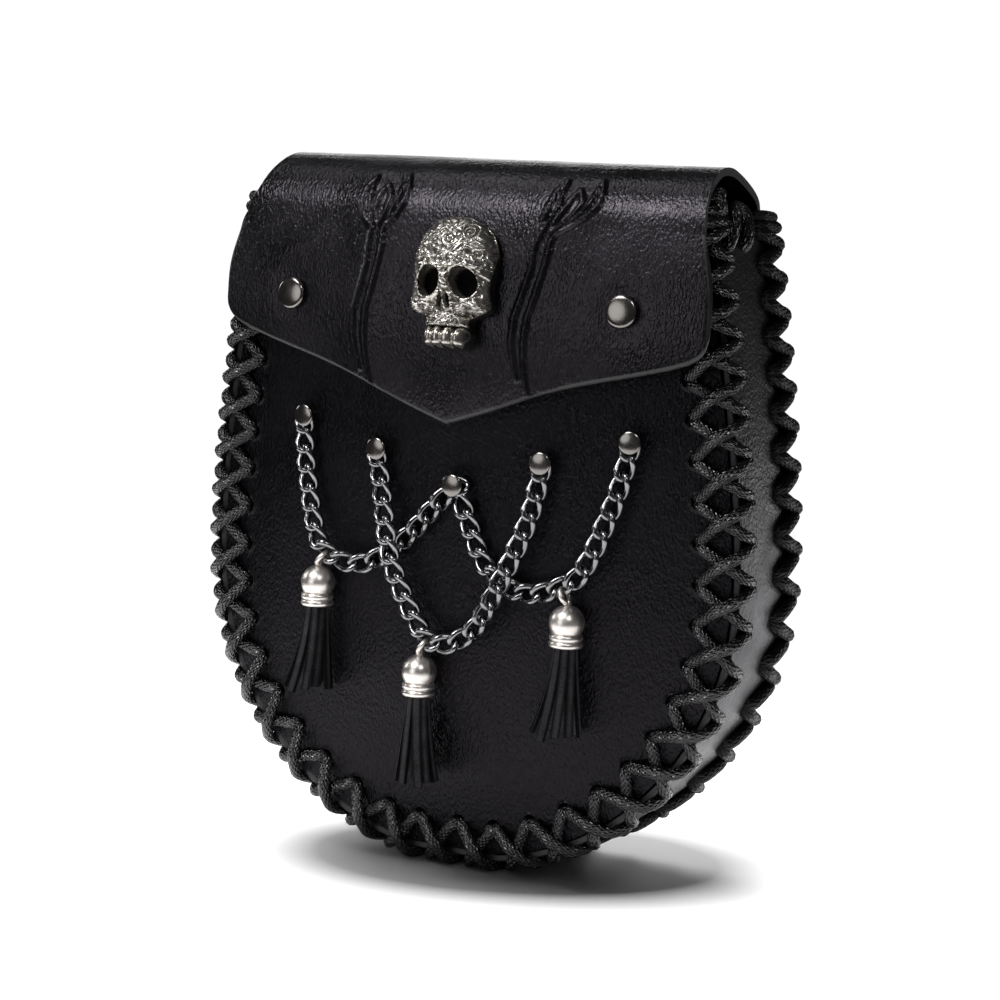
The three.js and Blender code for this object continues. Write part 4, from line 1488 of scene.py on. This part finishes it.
class POUCH_OT_tassels(bpy.types.Operator):
    """Make the tassels' caps and fringes"""

    bl_idname = "pouch.tassels"
    bl_label = "Tassels"

    def execute(self, context):
        sizes = context.scene.pouch_sizes
        colour = tuple(context.scene.pouch_colours.suede)
        suede = suede_finish("Suede", colour)
        # The strips' cut edges take a much darker copy of the suede: painted shade for the dark gaps
        # between strips
        painted_shade_edge = suede_finish("Suede edge", shade(colour, 0.15))
        for side, near, sweep in TASSELS:
            frames = INNER_FRAMES if side == "middle" else OUTER_FRAMES
            along, up, foot = hanging_at(frames, near)
            self.add_cap(context, side, along, up, foot)
            node = f"tassel_fringe_{side}"
            made = self.fringe(near, sweep, foot, sizes)
            fringe = add_piece(f"{node}_suede", made, [suede, painted_shade_edge], node)
            thicken(fringe, STRIP_THICK, STRIP_EDGE)
        return {"FINISHED"}

    def add_cap(self, context, side, along, up, foot):
        start = math.asin((CAP_PROFILE[-1][1] - BALL_RISE) / BALL_RADIUS)
        ball = []
        for i in range(1, BALL_STEPS + 1):
            turn = lerp(start, BALL_TOP, i / BALL_STEPS)
            ball.append((BALL_RADIUS * math.cos(turn), BALL_RISE + BALL_RADIUS * math.sin(turn)))
        made = turned((*CAP_PROFILE, *ball, *STEM_PROFILE))
        seat(made, foot, Vector((0, 0, 1)))
        made.loops.layers.uv.new("UVMap")
        middle = foot + Vector((0, 0, EYE_RISE)) + up * EYE_RADIUS
        turn = Vector((0, 0, 1)).rotation_difference(along)
        ring = []
        for i in range(EYE_STEPS + 1):
            angle = 2 * math.pi * i / EYE_STEPS
            away = turn @ Vector((math.cos(angle), math.sin(angle), 0))
            ring.append(middle + away * EYE_RADIUS)
        tube(made, ring, [EYE_THICK] * len(ring), WIRE_SIDES)
        # The caps take a lighter copy of the nickel: painted light
        finish = nickel(context, "Satin nickel", tone=1.2, roughness=0.32)
        node = f"tassel_cap_{side}"
        add_piece(f"{node}_nickel", closed(made), [finish], node, NICKEL_CREASE)

    def fringe(self, near, sweep, foot, sizes):
        """Strips round the cap's foot, each with its own drift."""
        count = sizes.strips
        width = sizes.strip / MM
        made = bmesh.new()
        # Vertex value for the suede's painted shade: 1 along a strip's middle, 0 at its long edges,
        # times a random tone per strip
        painted_gap_shade_layer = made.verts.layers.float.new("painted_gap_shade")
        for i in range(count):
            turn = 2 * math.pi * (i + 0.25) / count
            drift = noise.noise(Vector((i * 3.7, near, 0.5)))
            for vert in grid(made, *STRIP_GRID):
                vert[painted_gap_shade_layer] = (1 - abs(2 * vert.co.x)) * (0.75 + 0.5 * drift)
                hang = 0.5 - vert.co.y
                spread = STRIP_RING + (2.9 + 3.6 * drift) * hang ** 1.3
                swing = turn + 0.5 * drift * hang
                across = vert.co.x * width
                pull = 0.55 + 0.5 * math.cos(turn) * math.copysign(1, sweep)
                cos, sin = math.cos(swing), math.sin(swing)
                x = spread * cos - across * sin + sweep * pull * hang * hang
                y = spread * sin + across * cos
                z = STRIP_TOP - hang * STRIP_LONG * (0.96 + 0.06 * drift)
                vert.co = in_frame(foot + Vector((x, y, z)))
        return made


# Floor, backdrop and lights, in metres and watts. One wide light from above throws the shadow, and
# the floor's painted glow outside an oval sets its outer edge; the others only shine on the pouch
FLOOR_RADIUS = 0.32
# Centre and radii of the oval outside which the floor glows: a painted shadow round the pouch
SHADOW_PLACE = (0.0127, 0.0106, 0)
SHADOW_SIZE = (0.088, 0.054, 1)
BACKDROP = ((0, -0.01), (3, -0.01), (5, 0.6), (6, 2.4), (0, 6))
WORLD_LIGHT = 0.045
LIT_MIDDLE = Vector((0, 0, 0.12))
# Name, place, size, power, and whether it lights the floor
LIGHTS = (
    ("top", (-0.62, 0.24, 0.95), 1.1, 13.5, True),
    ("top_left", (-0.4, -0.05, 1.25), 0.5, 1.3, False),
    ("front_high", (-0.36, -0.86, 1.11), 0.55, 11, False),
    ("front_low", (-0.4, -1.12, 0.26), 0.6, 1.4, False),
    ("key_right", (0.75, -0.95, 1.05), 0.35, 3, False),
    ("soft_left", (-1.15, -0.1, 0.5), 0.3, 1.3, False),
    ("back_left", (-0.7, 1.3, 0.42), 1.1, 7, False),
    ("back_right", (0.7, 1.35, -0.2), 0.65, 2, False),
)


class POUCH_OT_stage(bpy.types.Operator):
    """Make the floor, the lights and the camera"""

    bl_idname = "pouch.stage"
    bl_label = "Stage"

    def execute(self, context):
        self.add_floor(context)
        self.add_backdrop()
        self.add_lights(context)
        self.add_camera(context)
        return {"FINISHED"}

    def add_floor(self, context):
        made = bmesh.new()
        bmesh.ops.create_circle(made, cap_ends=True, segments=FLOOR_STEPS, radius=FLOOR_RADIUS)
        finish = floor_finish("Pale floor", tuple(context.scene.pouch_colours.floor))
        self.add_stage(made, finish, "floor")

    def add_backdrop(self):
        """A white bowl round the floor, seen by the camera alone."""
        finish = backdrop_finish("White backdrop")
        backdrop = self.add_stage(turned(BACKDROP), finish, "backdrop")
        backdrop.visible_diffuse = False
        backdrop.visible_glossy = False
        backdrop.visible_shadow = False

    def add_stage(self, made, finish, name):
        mesh = bpy.data.meshes.new(name)
        made.to_mesh(mesh)
        made.free()
        mesh.materials.append(finish)
        stage = bpy.data.objects.new(name, mesh)
        bpy.context.scene.collection.objects.link(stage)
        return stage

    def add_lights(self, context):
        world = bpy.data.worlds.new("Studio")
        world.use_nodes = True
        background = world.node_tree.nodes["Background"]
        background.inputs["Color"].default_value = (1, 1, 1, 1)
        background.inputs["Strength"].default_value = WORLD_LIGHT
        context.scene.world = world
        for name, place, size, power, on_floor in LIGHTS:
            lamp = bpy.data.lights.new(name, "AREA")
            lamp.shape = "DISK"
            lamp.size = size
            lamp.energy = power
            light = bpy.data.objects.new(name, lamp)
            light.location = place
            way = LIT_MIDDLE - light.location
            light.rotation_euler = way.to_track_quat("-Z", "Y").to_euler()
            light.visible_camera = False
            light.visible_diffuse = on_floor
            light.visible_glossy = not on_floor
            context.scene.collection.objects.link(light)

    def add_camera(self, context):
        turn = Matrix.Rotation(CAMERA_AZIMUTH, 4, "Z")
        turn @= Matrix.Rotation(math.pi / 2 - CAMERA_ELEVATION, 4, "X")
        turn @= Matrix.Rotation(CAMERA_ROLL, 4, "Z")
        place = in_frame(CAMERA_LOOK) + turn.col[2].to_3d() * CAMERA_DISTANCE * MM
        lens = bpy.data.cameras.new("camera")
        lens.lens = CAMERA_LENS
        lens.sensor_width = CAMERA_SENSOR
        lens.shift_x, lens.shift_y = CAMERA_SHIFT
        lens.clip_start = 0.01
        camera = bpy.data.objects.new("camera", lens)
        camera.matrix_world = Matrix.Translation(place) @ turn
        context.scene.collection.objects.link(camera)
        context.scene.camera = camera
        context.scene.view_settings.view_transform = "Standard"


class POUCH_PT_panel(bpy.types.Panel):
    """Lists the pouch's pieces and what can be changed"""

    bl_label = "Belt Pouch"
    bl_idname = "POUCH_PT_panel"
    bl_space_type = "VIEW_3D"
    bl_region_type = "UI"
    bl_category = "Belt Pouch"

    def draw(self, context):
        for group in (context.scene.pouch_sizes, context.scene.pouch_colours):
            box = self.layout.box()
            for name in group.__annotations__:
                box.prop(group, name)
        for operator in OPERATORS:
            self.layout.operator(operator.bl_idname)


OPERATORS = (
    POUCH_OT_front_panel,
    POUCH_OT_gusset,
    POUCH_OT_back_and_flap,
    POUCH_OT_belt_loop,
    POUCH_OT_lacing,
    POUCH_OT_skull,
    POUCH_OT_rivets,
    POUCH_OT_chains,
    POUCH_OT_tassels,
    POUCH_OT_stage,
)
CLASSES = (PouchSizes, PouchColours, *OPERATORS, POUCH_PT_panel)


def register():
    for made in CLASSES:
        bpy.utils.register_class(made)
    bpy.types.Scene.pouch_sizes = PointerProperty(type=PouchSizes)
    bpy.types.Scene.pouch_colours = PointerProperty(type=PouchColours)


def unregister():
    del bpy.types.Scene.pouch_colours
    del bpy.types.Scene.pouch_sizes
    for made in reversed(CLASSES):
        bpy.utils.unregister_class(made)


def main():
    register()
    bpy.ops.pouch.stage()
    bpy.ops.pouch.front_panel()
    bpy.ops.pouch.gusset()
    bpy.ops.pouch.back_and_flap()
    bpy.ops.pouch.belt_loop()
    bpy.ops.pouch.lacing()
    bpy.ops.pouch.skull()
    bpy.ops.pouch.rivets()
    bpy.ops.pouch.chains()
    bpy.ops.pouch.tassels()


if __name__ == "__main__":
    main()
